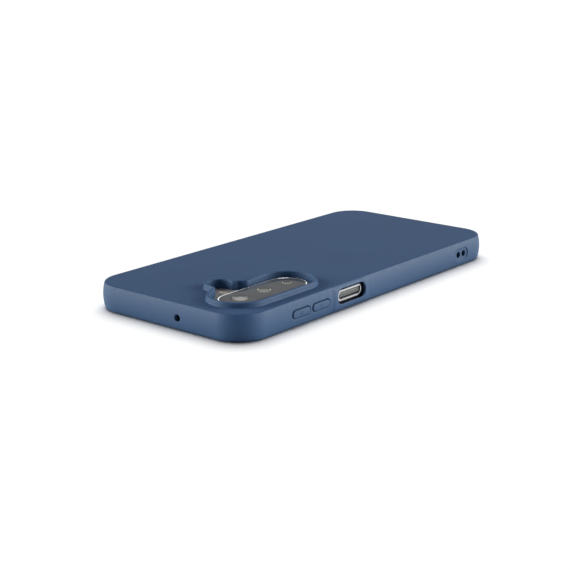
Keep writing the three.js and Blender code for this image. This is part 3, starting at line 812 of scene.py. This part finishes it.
def solid(centre, halfU, halfV, corner, stations, place, arcCount=10):
    # A plug with both ends capped: stations are (depth, grow) pairs from the inner end to the outer one.
    shell, made = layered(centre, halfU, halfV, corner, stations, place, arcCount)
    shell.cap(made[0])
    shell.cap(made[-1])
    return shell


def frameRing(centre, halfU, halfV, corner, stations, place, arcCount=10):
    # A closed frame whose last station joins its first one.
    shell, made = layered(centre, halfU, halfV, corner, stations, place, arcCount)
    shell.band(made[-1], made[0])
    return shell


def stadium(centre, halfU, halfV, stations, place, arcCount=10):
    return solid(centre, halfU, halfV, min(halfU, halfV) - 0.001, stations, place, arcCount)


def lathe(centre, profile, place, count=64):
    # (radius, depth) pairs turned about the centre. A radius of zero makes a pole.
    shell = Shell()
    rings = []
    for r, depth in profile:
        angles = [2 * math.pi * i / count for i in range(count)] if r else [0.0]
        turned = [(centre[0] + r * math.cos(a), centre[1] + r * math.sin(a)) for a in angles]
        rings.append(shell.ring([place(u, v, depth) for u, v in turned]))
    for a, b in zip(rings, rings[1:]):
        if len(a) == 1 or len(b) == 1:
            pole, loop = (a[0], b) if len(a) == 1 else (b[0], a)
            shell.faces += [(loop[i], loop[(i + 1) % count], pole) for i in range(count)]
        else:
            shell.band(a, b)
    return shell


def merge(*shells):
    whole = Shell()
    for shell in shells:
        start = len(whole.vertices)
        whole.vertices += shell.vertices
        whole.faces += [tuple(start + k for k in face) for face in shell.faces]
    return whole


def roundOver(depth, grow, radius, count=5):
    # Stations that round an outer edge whose face is at this depth.
    r = radius
    return [(depth - r * (1 - math.sin(a)), grow - r * (1 - math.cos(a))) for a in filletSteps(count)]


caseOpenings = {
    "padY": (-50.1, -38.2),
    "padZ": 5.4,
    "padHole": (5.42, 1.77),
    "padMouth": 0.25,
    "pocketGrow": 0.5,
    "pocketFront": -0.75,
    "powerCentre": (-19.15, 5.95),
    "powerHalf": (8.75, 3.05),
    "powerCorner": 2.6,
    "powerMouth": 0.3,
    "reliefGrow": 0.8,
    "reliefFront": -0.5,
    "strapDish": ((59.8, 5.4), 5.1, 2.5),
    "strapDepth": 0.35,
    "strapHoles": (58.0, 62.0),
    "strapHole": (1.4, 1.35),
    "microphone": (1.4, 1.1),
    "topMicrophone": (7.8, 5.0),
    "bottomMicrophone": (-13.0, 5.4),
    "port": ((0.0, 5.4), 6.8, 3.2),
    "sound": ((20.0, 5.4), 7.0, 1.3),
}


def caseCutters():
    o = caseOpenings
    through = 3.2
    tools = []
    for y in o["padY"]:
        tools.append(stadium((y, o["padZ"]), *o["padHole"], mouth(o["padMouth"], through), onKeySide))
        pocket = [half + o["pocketGrow"] for half in o["padHole"]]
        tools.append(stadium((y, o["padZ"]), *pocket, [(-through, 0.0), (o["pocketFront"], 0.0)], onKeySide))
    power = mouth(o["powerMouth"], through)
    tools.append(solid(o["powerCentre"], *o["powerHalf"], o["powerCorner"], power, onKeySide))
    relief = [(-through, o["reliefGrow"]), (o["reliefFront"], o["reliefGrow"])]
    tools.append(solid(o["powerCentre"], *o["powerHalf"], o["powerCorner"], relief, onKeySide))
    centre, halfU, halfV = o["strapDish"]
    tools.append(stadium(centre, halfU, halfV, dishMouth(0.2, o["strapDepth"], 0.3), onKeySide))
    holeMouth = [(depth - o["strapDepth"], grow) for depth, grow in mouth(0.2, through)]
    for y in o["strapHoles"]:
        tools.append(stadium((y, centre[1]), *o["strapHole"], holeMouth, onKeySide))
    top, bottom = o["microphone"]
    tools.append(stadium(o["topMicrophone"], top, top, mouth(0.2, through), onCameraEnd))
    tools.append(stadium(o["bottomMicrophone"], bottom, bottom, mouth(0.2, through), onPortEnd))
    for centre, halfU, halfV in (o["port"], o["sound"]):
        tools.append(stadium(centre, halfU, halfV, mouth(0.4, through), onPortEnd))
    return tools


def toolObject(name, shell):
    mesh = bpy.data.meshes.new(name)
    mesh.from_pydata([tuple(c / metre for c in v) for v in shell.vertices], [], shell.faces)
    bm = bmesh.new()
    bm.from_mesh(mesh)
    bmesh.ops.triangulate(bm, faces=[f for f in bm.faces if len(f.verts) > 4])
    bmesh.ops.recalc_face_normals(bm, faces=bm.faces)
    bm.to_mesh(mesh)
    bm.free()
    tool = bpy.data.objects.new(name, mesh)
    bpy.context.scene.collection.objects.link(tool)
    return tool


def cutAway(piece, tools):
    # Subtracts each tool in turn, applies the result and removes the tools.
    for i, shell in enumerate(tools):
        tool = toolObject(f"tool{i}", shell)
        modifier = piece.modifiers.new("cut", "BOOLEAN")
        modifier.operation = "DIFFERENCE"
        modifier.object = tool
        modifier.solver = "MANIFOLD"
        graph = bpy.context.evaluated_depsgraph_get()
        mesh = bpy.data.meshes.new_from_object(piece.evaluated_get(graph))
        piece.modifiers.clear()
        old = piece.data
        piece.data = mesh
        bpy.data.meshes.remove(old)
        bpy.data.objects.remove(tool)


def makeCarved(name, shell, tools, slotName, node, smoothAngle):
    # A piece of the phone's own body with tools cut out of it.
    piece = makeObject(name, shell, slotName, None)
    cutAway(piece, tools)
    piece.data.materials.clear()
    piece.data.materials.append(finishes[slotName])
    smooth(piece.data, smoothAngle)
    dress(piece, "phone", [node])


makeCarved("protectiveCase", caseBody(), caseCutters(), "silicone", "case_shell", 32.0)
print("case made")


volumePad = {
    "half": (5.1, 1.45),
    "height": 5.4,
    "flange": 0.6,
    "inner": -1.35,
    "flangeFront": -0.8,
    "proud": 0.32,
    "edge": 0.4,
    "markHalf": 0.85,
    "markWidth": 0.16,
    "markRise": 0.12,
}


def padMark(y, alongY, alongZ):
    reach = volumePad["markHalf"]
    thin = volumePad["markWidth"]
    top = volumePad["proud"] + volumePad["markRise"]
    stations = [(volumePad["proud"] - 0.2, 0.0)] + roundOver(top, 0.0, 0.07, 3)
    bars = []
    if alongY:
        bars.append(stadium((y, volumePad["height"]), reach, thin, stations, onKeySide, 4))
    if alongZ:
        bars.append(stadium((y, volumePad["height"]), thin, reach, stations, onKeySide, 4))
    return merge(*bars)


def makePad(node, y, alongY):
    v = volumePad
    stations = [(v["inner"], v["flange"]), (v["flangeFront"], v["flange"]), (v["flangeFront"], 0.0)]
    stations += roundOver(v["proud"], 0.0, v["edge"], 7)
    pad = stadium((y, v["height"]), *v["half"], stations, onKeySide, 16)
    shell = merge(pad, padMark(y, alongY, True))
    makeObject(node + "Model", shell, "silicone", node, [node], 50.0)


makePad("volume_up_pad", caseOpenings["padY"][0], True)
makePad("volume_down_pad", caseOpenings["padY"][1], False)
print("pads made")


powerKey = {
    "centre": (-18.6, 5.8),
    "half": (8.0, 2.4),
    "corner": 2.1,
    "wall": 1.1,
    "edge": 0.28,
    "back": 37.15,
    "front": 38.75,
    "keyInset": 1.48,
    "keyBack": 37.9,
    "keyFront": 38.3,
    "keyEdge": 0.22,
}


def alongX(u, v, depth):
    return (depth, u, v)


def makePowerBezel():
    k = powerKey
    r = k["edge"]
    turns = filletSteps(5)
    stations = [(k["back"], 0.0)]
    stations += [(k["front"] - r + r * math.sin(a), -r * (1 - math.cos(a))) for a in turns]
    stations += [(k["front"] - r + r * math.cos(a), -k["wall"] + r * (1 - math.sin(a))) for a in turns]
    stations.append((k["back"], -k["wall"]))
    shell = frameRing(k["centre"], *k["half"], k["corner"], stations, alongX, 16)
    makeObject("powerBezelModel", shell, "chrome_trim", "phone", ["power_key_bezel"], 40.0)


def makeSensorFace():
    k = powerKey
    stations = [(k["keyBack"], -k["keyInset"])] + roundOver(k["keyFront"], -k["keyInset"], k["keyEdge"], 5)
    shell = solid(k["centre"], *k["half"], k["corner"], stations, alongX, 12)
    makeObject("fingerprintModel", shell, "sensor_face", "power_key", ["fingerprint_sensor"], 50.0)


makePowerBezel()
makeSensorFace()
print("power key made")


island = {
    "centre": (lensX, -52.0),
    "radius": 8.0,
    "halfLength": 21.9,
    "bottom": 7.95,
    "flangeTop": 8.45,
    "flange": 0.8,
    "top": 11.2,
    "ring": 0.7,
    "glassInset": 0.9,
    "glassBottom": 10.1,
    "glassTop": 11.1,
}
lensSteps = [(2.0, 0.04), (0.9, 0.08), (0.08, 0.4)]  # how far past the window, and how deep
# Each lens's tint is the colour of its painted reflection; the ultrawide one is palest, the macro one
# darkest.
lenses = {
    "ultrawide": {
        "y": -65.0, "window": 3.3, "tint": (0.31, 0.33, 0.35), "node": "ultrawide_camera", "body": "phone",
        "tube": 3.6, "bottom": 7.7, "top": 9.5, "half": 4.3,
    },
    "main": {
        "y": -51.5, "window": 3.05, "tint": (0.18, 0.187, 0.197), "node": "main_lens_barrel",
        "body": "lens_barrel", "tube": 3.6, "bottom": 5.5, "top": 9.4, "half": 0.0,
    },
    "macro": {
        "y": -38.0, "window": 2.15, "tint": (0.15, 0.156, 0.167), "node": "macro_camera", "body": "phone",
        "tube": 2.5, "bottom": 7.7, "top": 9.5, "half": 3.3,
    },
}
lensBlock = {"bottom": 4.3, "top": 8.0, "edge": 0.1, "corner": 0.4}  # the square module under a tube


def makeIslandFrame():
    i = island
    stations = [(i["bottom"], i["flange"]), (i["flangeTop"], i["flange"]), (i["flangeTop"], 0.0)]
    stations += roundOver(i["top"], 0.0, 0.22, 5)
    stations += [(i["top"], -0.6), (i["top"] - 0.1, -i["ring"]), (i["bottom"], -i["ring"])]
    shell = frameRing(i["centre"], i["radius"], i["halfLength"], i["radius"] - 0.001, stations, onTop, 32)
    makeObject("islandFrameModel", shell, "chrome_trim", "phone", ["camera_island_frame"], 40.0)


def makeIslandGlass():
    i = island
    stations = [(i["glassBottom"], -i["glassInset"])] + roundOver(i["glassTop"], -i["glassInset"], 0.12, 4)
    plate = solid(i["centre"], i["radius"], i["halfLength"], i["radius"] - 0.001, stations, onTop, 32)
    tools = []
    for lens in lenses.values():
        top = i["glassTop"]
        for grow, depth in lensSteps:
            reach = lens["window"] + grow
            edge = reach + min(depth, 0.1) + 0.04
            profile = [(0, top - depth), (reach, top - depth), (edge, top + 0.02)]
            profile += [(edge, top + 1), (0, top + 1)]
            tools.append(lathe((lensX, lens["y"]), profile, onTop, 96))
    makeCarved("islandGlassModel", plate, tools, "camera_glass", "camera_cover_glass", 30.0)


def makeLensWindow(name):
    # The clear spot of the cover glass over a lens, very slightly domed.
    lens = lenses[name]
    r, top = lens["window"], island["glassTop"]
    edge, dome = top - 0.09, 0.06
    profile = [(0, top - 0.45), (r, top - 0.45), (r, edge - 0.05), (r - 0.05, edge)]
    profile += [(r * (1 - i / 6), edge + dome * math.sin(math.pi / 2 * i / 6)) for i in range(1, 7)]
    shell = lathe((lensX, lens["y"]), profile, onTop)
    # The window's surface carries a painted reflection of the light, pale at its centre.
    glintLook = paintedGlintLens(name + "Coat", (lensX, lens["y"]), r, lens["tint"])
    makeObject(name + "Window", shell, "camera_glass", "phone", (), 30.0, glintLook)


def makeLensTube(name):
    # A stepped lens tube with a sunk front element, standing on a square module where it has one.
    lens = lenses[name]
    centre = (lensX, lens["y"])
    r, bottom, top = lens["tube"], lens["bottom"], lens["top"]
    steps = [(0.0, 0.12), (0.12, 0.0), (0.5, 0.0), (0.62, 0.15), (0.85, 0.15), (0.95, 0.35), (1.2, 0.35)]
    profile = [(0, bottom), (r, bottom)] + [(r - inward, top - down) for inward, down in steps]
    profile.append((r - 1.3, top - 0.55))
    profile += [((r - 1.3) * math.cos(a), top - 0.55 + 0.3 * math.sin(a)) for a in filletSteps(6)[1:-1]]
    profile.append((0, top - 0.25))
    shell = lathe(centre, profile, onTop)
    if lens["half"]:
        b = lensBlock
        stations = [(b["bottom"], 0.0), (b["top"] - b["edge"], 0.0), (b["top"], -b["edge"])]
        shell = merge(shell, solid(centre, lens["half"], lens["half"], b["corner"], stations, onTop, 3))
    makeObject(name + "Tube", shell, "black_plastic", lens["body"], [lens["node"]], 30.0)


flash = {"centre": (8.3, -58.4), "radius": 2.1, "bottom": 8.6, "top": 9.25, "grooves": 5, "pitch": 0.32}


def makeFlash():
    r, bottom, top = flash["radius"], flash["bottom"], flash["top"]
    profile = [(0, bottom), (r, bottom), (r, top - 0.12), (r - 0.12, top - 0.02)]
    for i in range(flash["grooves"]):
        step = r - 0.25 - i * flash["pitch"]
        profile += [(step, top - 0.02), (step - 0.06, top - 0.1), (step - 0.24, top - 0.02)]
    profile += [(0, top)]
    shell = lathe(flash["centre"], profile, onTop)
    makeObject("flashModel", shell, "diffuser", "phone", ["flash_window"], 30.0)


makeIslandFrame()
makeIslandGlass()
for lensName in lenses:
    makeLensWindow(lensName)
for lensName in lenses:
    makeLensTube(lensName)
makeFlash()
print("camera made")


sideFrame = {
    "half": (38.25, 81.75),
    "corner": 11.25,
    "bottom": 1.5,
    "top": 8.65,
    "edge": 0.3,
    "wall": 2.05,
    "rebate": 0.55,
    "ledge": 2.5,
    "cutDepth": 3.0,
    "chamfer": 0.2,
    "power": ((-18.6, 5.8), 8.25, 2.65, 2.35),
    "keySlot": (4.8, 1.4),
    "simSlot": ((-56.0, 6.0), 7.5, 1.2),
    "port": ((0.0, 5.4), 4.75, 1.91),
    "microphones": ((7.8, 5.0), (-13.0, 5.4)),
    "microphone": 0.5,
    "speakerHoles": 5,
    "speakerPitch": 2.5,
    "speakerHole": 0.65,
}


def alongY(u, v, depth):
    return (u, depth, v)


def slotTool(centre, halfU, halfV, face, place):
    # A through cut with a slightly broken edge at the outer face.
    outward = math.copysign(1.0, face)
    steps = [(-sideFrame["cutDepth"], 0.0), (-0.12, 0.0), (0.1, sideFrame["chamfer"])]
    stations = [(face + outward * depth, grow) for depth, grow in steps]
    return stadium(centre, halfU, halfV, stations, place, 12)


def frameTools():
    f = sideFrame
    x, y = f["half"]
    centre, halfU, halfV, corner = f["power"]
    tools = [solid(centre, halfU, halfV, corner, [(x - f["cutDepth"], 0.0), (x + 1, 0.0)], alongX)]
    for keyY in caseOpenings["padY"]:
        tools.append(slotTool((keyY, 5.4), *f["keySlot"], x, alongX))
    centre, halfU, halfV = f["simSlot"]
    tools.append(slotTool(centre, halfU, halfV, -x, alongX))
    centre, halfU, halfV = f["port"]
    tools.append(slotTool(centre, halfU, halfV, y, alongY))
    hole = f["microphone"]
    tools.append(slotTool(f["microphones"][0], hole, hole, -y, alongY))
    tools.append(slotTool(f["microphones"][1], hole, hole, y, alongY))
    soundCentre = caseOpenings["sound"][0]
    for i in range(f["speakerHoles"]):
        u = soundCentre[0] + (i - (f["speakerHoles"] - 1) / 2) * f["speakerPitch"]
        tools.append(slotTool((u, soundCentre[1]), f["speakerHole"], f["speakerHole"], y, alongY))
    return tools


def makeSideFrame():
    f = sideFrame
    stations = [(f["bottom"] + f["edge"], 0.0)] + roundOver(f["top"], 0.0, f["edge"], 4)
    stations += [(f["top"], -f["wall"]), (f["ledge"], -f["wall"]), (f["ledge"], -f["rebate"])]
    stations += [(f["bottom"], -f["rebate"]), (f["bottom"], -f["edge"]), (f["bottom"] + 0.09, -0.09)]
    shell = frameRing((0.0, 0.0), *f["half"], f["corner"], stations, onTop, 16)
    makeCarved("sideFrameModel", shell, frameTools(), "frame_aluminium", "side_frame", 35.0)


def makeDisplayGlass():
    low, high = cadSpan("display_glass")
    edge, corner = 0.35, 10.4
    back = [(high.z, 0.0)]
    front = [(low.z + edge * (1 - math.sin(a)), -edge * (1 - math.cos(a))) for a in filletSteps(5)]
    shell = solid((0.0, 0.0), high.x, high.y, corner, back + front, onTop, 24)
    makeObject("displayGlassModel", shell, "display_glass", "phone", ["display_glass"], 40.0)


makeSideFrame()
makeDisplayGlass()
print("frame made")


usbPort = {"centre": (0.0, 5.4), "half": (4.47, 1.63), "wall": 0.32, "back": 74.8, "floor": 75.4}


def makePortShell():
    u = usbPort
    front = cadSpan("usb_port_shell")[1].y
    lip = u["wall"] / 2
    turns = [math.pi * i / 6 for i in range(7)]
    stations = [(u["back"], 0.0)]
    stations += [(front - lip + lip * math.sin(a), lip * (math.cos(a) - 1)) for a in turns]
    stations.append((u["floor"], -u["wall"]))
    shell = solid(u["centre"], *u["half"], u["half"][1] - 0.001, stations, alongY, 12)
    makeObject("portShellModel", shell, "steel", "phone", ["usb_port_shell"])


makePortShell()
print("port made")


class Grower:
    # A Geometry Nodes tree with named inputs, run on a seed object whose result is baked to a plain mesh;
    # the seed is then removed.
    def __init__(self, name, inputs):
        self.tree = bpy.data.node_groups.new(name, "GeometryNodeTree")
        self.tree.interface.new_socket("Geometry", in_out="INPUT", socket_type="NodeSocketGeometry")
        self.tree.interface.new_socket("Geometry", in_out="OUTPUT", socket_type="NodeSocketGeometry")
        kinds = {int: "NodeSocketInt", float: "NodeSocketFloat", bpy.types.Material: "NodeSocketMaterial"}
        self.values = inputs
        for label, value in inputs.items():
            kind = kinds.get(type(value), "NodeSocketMaterial")
            self.tree.interface.new_socket(label, in_out="INPUT", socket_type=kind)
        self.input = self.tree.nodes.new("NodeGroupInput")
        self.output = self.tree.nodes.new("NodeGroupOutput")

    def node(self, kind, **sockets):
        made = self.tree.nodes.new(kind)
        for label, value in sockets.items():
            self.feed(made, label.replace("_", " "), value)
        return made

    def feed(self, node, place, value):
        # The place is a socket's name or its number, the value a constant, a socket or a named input.
        socket = node.inputs[place]
        if isinstance(value, bpy.types.NodeSocket):
            self.tree.links.new(value, socket)
        elif isinstance(value, str):
            self.tree.links.new(self.input.outputs[value], socket)
        else:
            socket.default_value = value

    def vector(self, x=0.0, y=0.0, z=0.0):
        return self.node("ShaderNodeCombineXYZ", X=x, Y=y, Z=z).outputs["Vector"]

    def math(self, operation, a, b):
        made = self.tree.nodes.new("ShaderNodeMath")
        made.operation = operation
        self.feed(made, 0, a)
        self.feed(made, 1, b)
        return made.outputs["Value"]

    def vectorMath(self, operation, a, place, b):
        made = self.tree.nodes.new("ShaderNodeVectorMath")
        made.operation = operation
        self.feed(made, 0, a)
        self.feed(made, place, b)
        return made.outputs["Vector"]

    def times(self, a, b):
        return self.math("MULTIPLY", a, b)

    def moved(self, geometry, shift):
        return self.node("GeometryNodeTransform", Geometry=geometry, Translation=shift).outputs["Geometry"]

    def onPoints(self, points, instance):
        placed = self.node("GeometryNodeInstanceOnPoints", Points=points, Instance=instance)
        return placed.outputs["Instances"]

    def join(self, *geometries):
        joined = self.tree.nodes.new("GeometryNodeJoinGeometry")
        for geometry in geometries:
            self.tree.links.new(geometry, joined.inputs["Geometry"])
        return joined.outputs["Geometry"]

    def finish(self, geometry):
        realized = self.node("GeometryNodeRealizeInstances", Geometry=geometry).outputs["Geometry"]
        dressed = self.node("GeometryNodeSetMaterial", Geometry=realized, Material="Material")
        self.tree.links.new(dressed.outputs["Geometry"], self.output.inputs["Geometry"])

    def bake(self, name, points, edges=()):
        seedMesh = bpy.data.meshes.new(name + "Seed")
        seedMesh.from_pydata([tuple(c / metre for c in p) for p in points], edges, [])
        seed = bpy.data.objects.new(name + "Seed", seedMesh)
        bpy.context.scene.collection.objects.link(seed)
        modifier = seed.modifiers.new("grow", "NODES")
        modifier.node_group = self.tree
        for item in self.tree.interface.items_tree:
            if item.in_out == "INPUT" and item.name in self.values:
                modifier[item.identifier] = self.values[item.name]
        graph = bpy.context.evaluated_depsgraph_get()
        mesh = bpy.data.meshes.new_from_object(seed.evaluated_get(graph))
        mesh.name = name
        bpy.data.objects.remove(seed)
        bpy.data.meshes.remove(seedMesh)
        mesh.materials.clear()
        mesh.materials.append(self.values["Material"])
        smooth(mesh, 35.0)
        piece = bpy.data.objects.new(name, mesh)
        bpy.context.scene.collection.objects.link(piece)
        return piece


def growScrews():
    # A cross-head screw with a ribbed shank on every screw place.
    places = {name: cadSpan(name) for name in nodes if "_screw_" in name}
    low, high = next(iter(places.values()))
    length = (high.z - low.z) / metre
    head = 0.45 / metre
    g = Grower("crossScrew", {
        "Head Radius": (high.x - low.x) / 2 / metre,
        "Head Height": head,
        "Shank Radius": 0.42 / metre,
        "Shank Length": length - head,
        "Rib Radius": 0.55 / metre,
        "Rib Pitch": 0.28 / metre,
        "Ribs": 12,
        "Slot Width": 0.28 / metre,
        "Material": finishes["steel"],
    })
    headMesh = g.node("GeometryNodeMeshCylinder", Vertices=40, Radius="Head Radius", Depth="Head Height")
    headPlaced = g.moved(headMesh.outputs["Mesh"], g.vector(z=g.times("Head Height", -0.5)))
    reach = g.times("Head Radius", 1.25)
    crossed = g.tree.nodes.new("GeometryNodeMeshBoolean")
    crossed.operation = "DIFFERENCE"
    crossed.solver = "MANIFOLD"
    g.feed(crossed, "Mesh 1", headPlaced)
    for size in ((reach, "Slot Width"), ("Slot Width", reach)):
        bar = g.node("GeometryNodeMeshCube", Size=g.vector(*size, "Head Height"))
        g.feed(crossed, "Mesh 2", bar.outputs["Mesh"])
    shank = g.node("GeometryNodeMeshCylinder", Vertices=20, Radius="Shank Radius", Depth="Shank Length")
    drop = g.math("ADD", g.times("Head Height", -0.95), g.times("Shank Length", -0.5))
    shankPlaced = g.moved(shank.outputs["Mesh"], g.vector(z=drop))
    rib = g.node(
        "GeometryNodeMeshCone", Vertices=20, Radius_Top="Shank Radius", Radius_Bottom="Rib Radius",
        Depth=g.times("Rib Pitch", 0.7),
    )
    stack = g.node("GeometryNodeMeshLine", Count="Ribs", Offset=g.vector(z=g.times("Rib Pitch", -1.0)))
    lowered = g.moved(stack.outputs["Mesh"], g.vector(z=g.times("Head Height", -1.8)))
    screw = g.join(crossed.outputs["Mesh"], shankPlaced, g.onPoints(lowered, rib.outputs["Mesh"]))
    g.finish(g.onPoints("Geometry", screw))
    tops = [((a.x + b.x) / 2, (a.y + b.y) / 2, b.z) for a, b in places.values()]
    piece = g.bake("bracketScrews", tops)
    dress(piece, "phone", sorted(places))


def growCoil():
    # Nested wire loops inside the flat outline of the coil.
    low, high = cadSpan("nfc_coil")
    centre = (low + high) / 2
    half = (high - low) / 2
    wire = 0.09
    loop = roundRect(half.x - wire, half.y - wire, 4.0, (centre.x, centre.y), 50.0, 8)
    g = Grower("coilLoops", {
        "Loops": 9,
        "Shrink": 0.022,
        "Wire Radius": wire / metre,
        "Centre X": centre.x / metre,
        "Centre Y": centre.y / metre,
        "Material": finishes["copper"],
    })
    curve = g.node("GeometryNodeMeshToCurve", Mesh="Geometry")
    copies = g.tree.nodes.new("GeometryNodeDuplicateElements")
    copies.domain = "SPLINE"
    g.feed(copies, "Geometry", curve.outputs["Curve"])
    g.feed(copies, "Amount", "Loops")
    share = g.times(g.times(copies.outputs["Duplicate Index"], "Shrink"), -1.0)
    position = g.node("GeometryNodeInputPosition").outputs["Position"]
    middle = g.vector("Centre X", "Centre Y", centre.z / metre)
    fromCentre = g.vectorMath("SUBTRACT", position, 1, middle)
    inward = g.vectorMath("SCALE", fromCentre, "Scale", share)
    shrunk = g.node("GeometryNodeSetPosition", Geometry=copies.outputs["Geometry"], Offset=inward)
    section = g.node("GeometryNodeCurvePrimitiveCircle", Resolution=8, Radius="Wire Radius").outputs["Curve"]
    wires = g.node("GeometryNodeCurveToMesh", Curve=shrunk.outputs["Geometry"], Profile_Curve=section)
    g.finish(wires.outputs["Mesh"])
    points = [(x, y, centre.z) for x, y in loop]
    piece = g.bake("coilWires", points, [(i, (i + 1) % len(points)) for i in range(len(points))])
    dress(piece, "phone", ["nfc_coil"])


def growContacts():
    # A row of contact strips on each face of the port's tongue.
    low, high = cadSpan("usb_port_tongue")
    g = Grower("contactRow", {
        "Count": 12,
        "Pitch": 0.5 / metre,
        "Width": 0.26 / metre,
        "Length": 3.4 / metre,
        "Thickness": 0.05 / metre,
        "Material": finishes["copper"],
    })
    row = g.node("GeometryNodeMeshLine", Count="Count", Offset=g.vector(x="Pitch"))
    strip = g.node("GeometryNodeMeshCube", Size=g.vector("Width", "Length", "Thickness"))
    strips = g.onPoints(row.outputs["Mesh"], strip.outputs["Mesh"])
    g.finish(g.onPoints("Geometry", strips))
    middle, firstX, gap = (low.y + high.y) / 2, -2.75, 0.01
    piece = g.bake("portContacts", [(firstX, middle, low.z - gap), (firstX, middle, high.z + gap)])
    dress(piece, "phone", ())


growScrews()
growCoil()
growContacts()
print("repeated parts grown")


for settings in softLights:
    linkLight(settings)
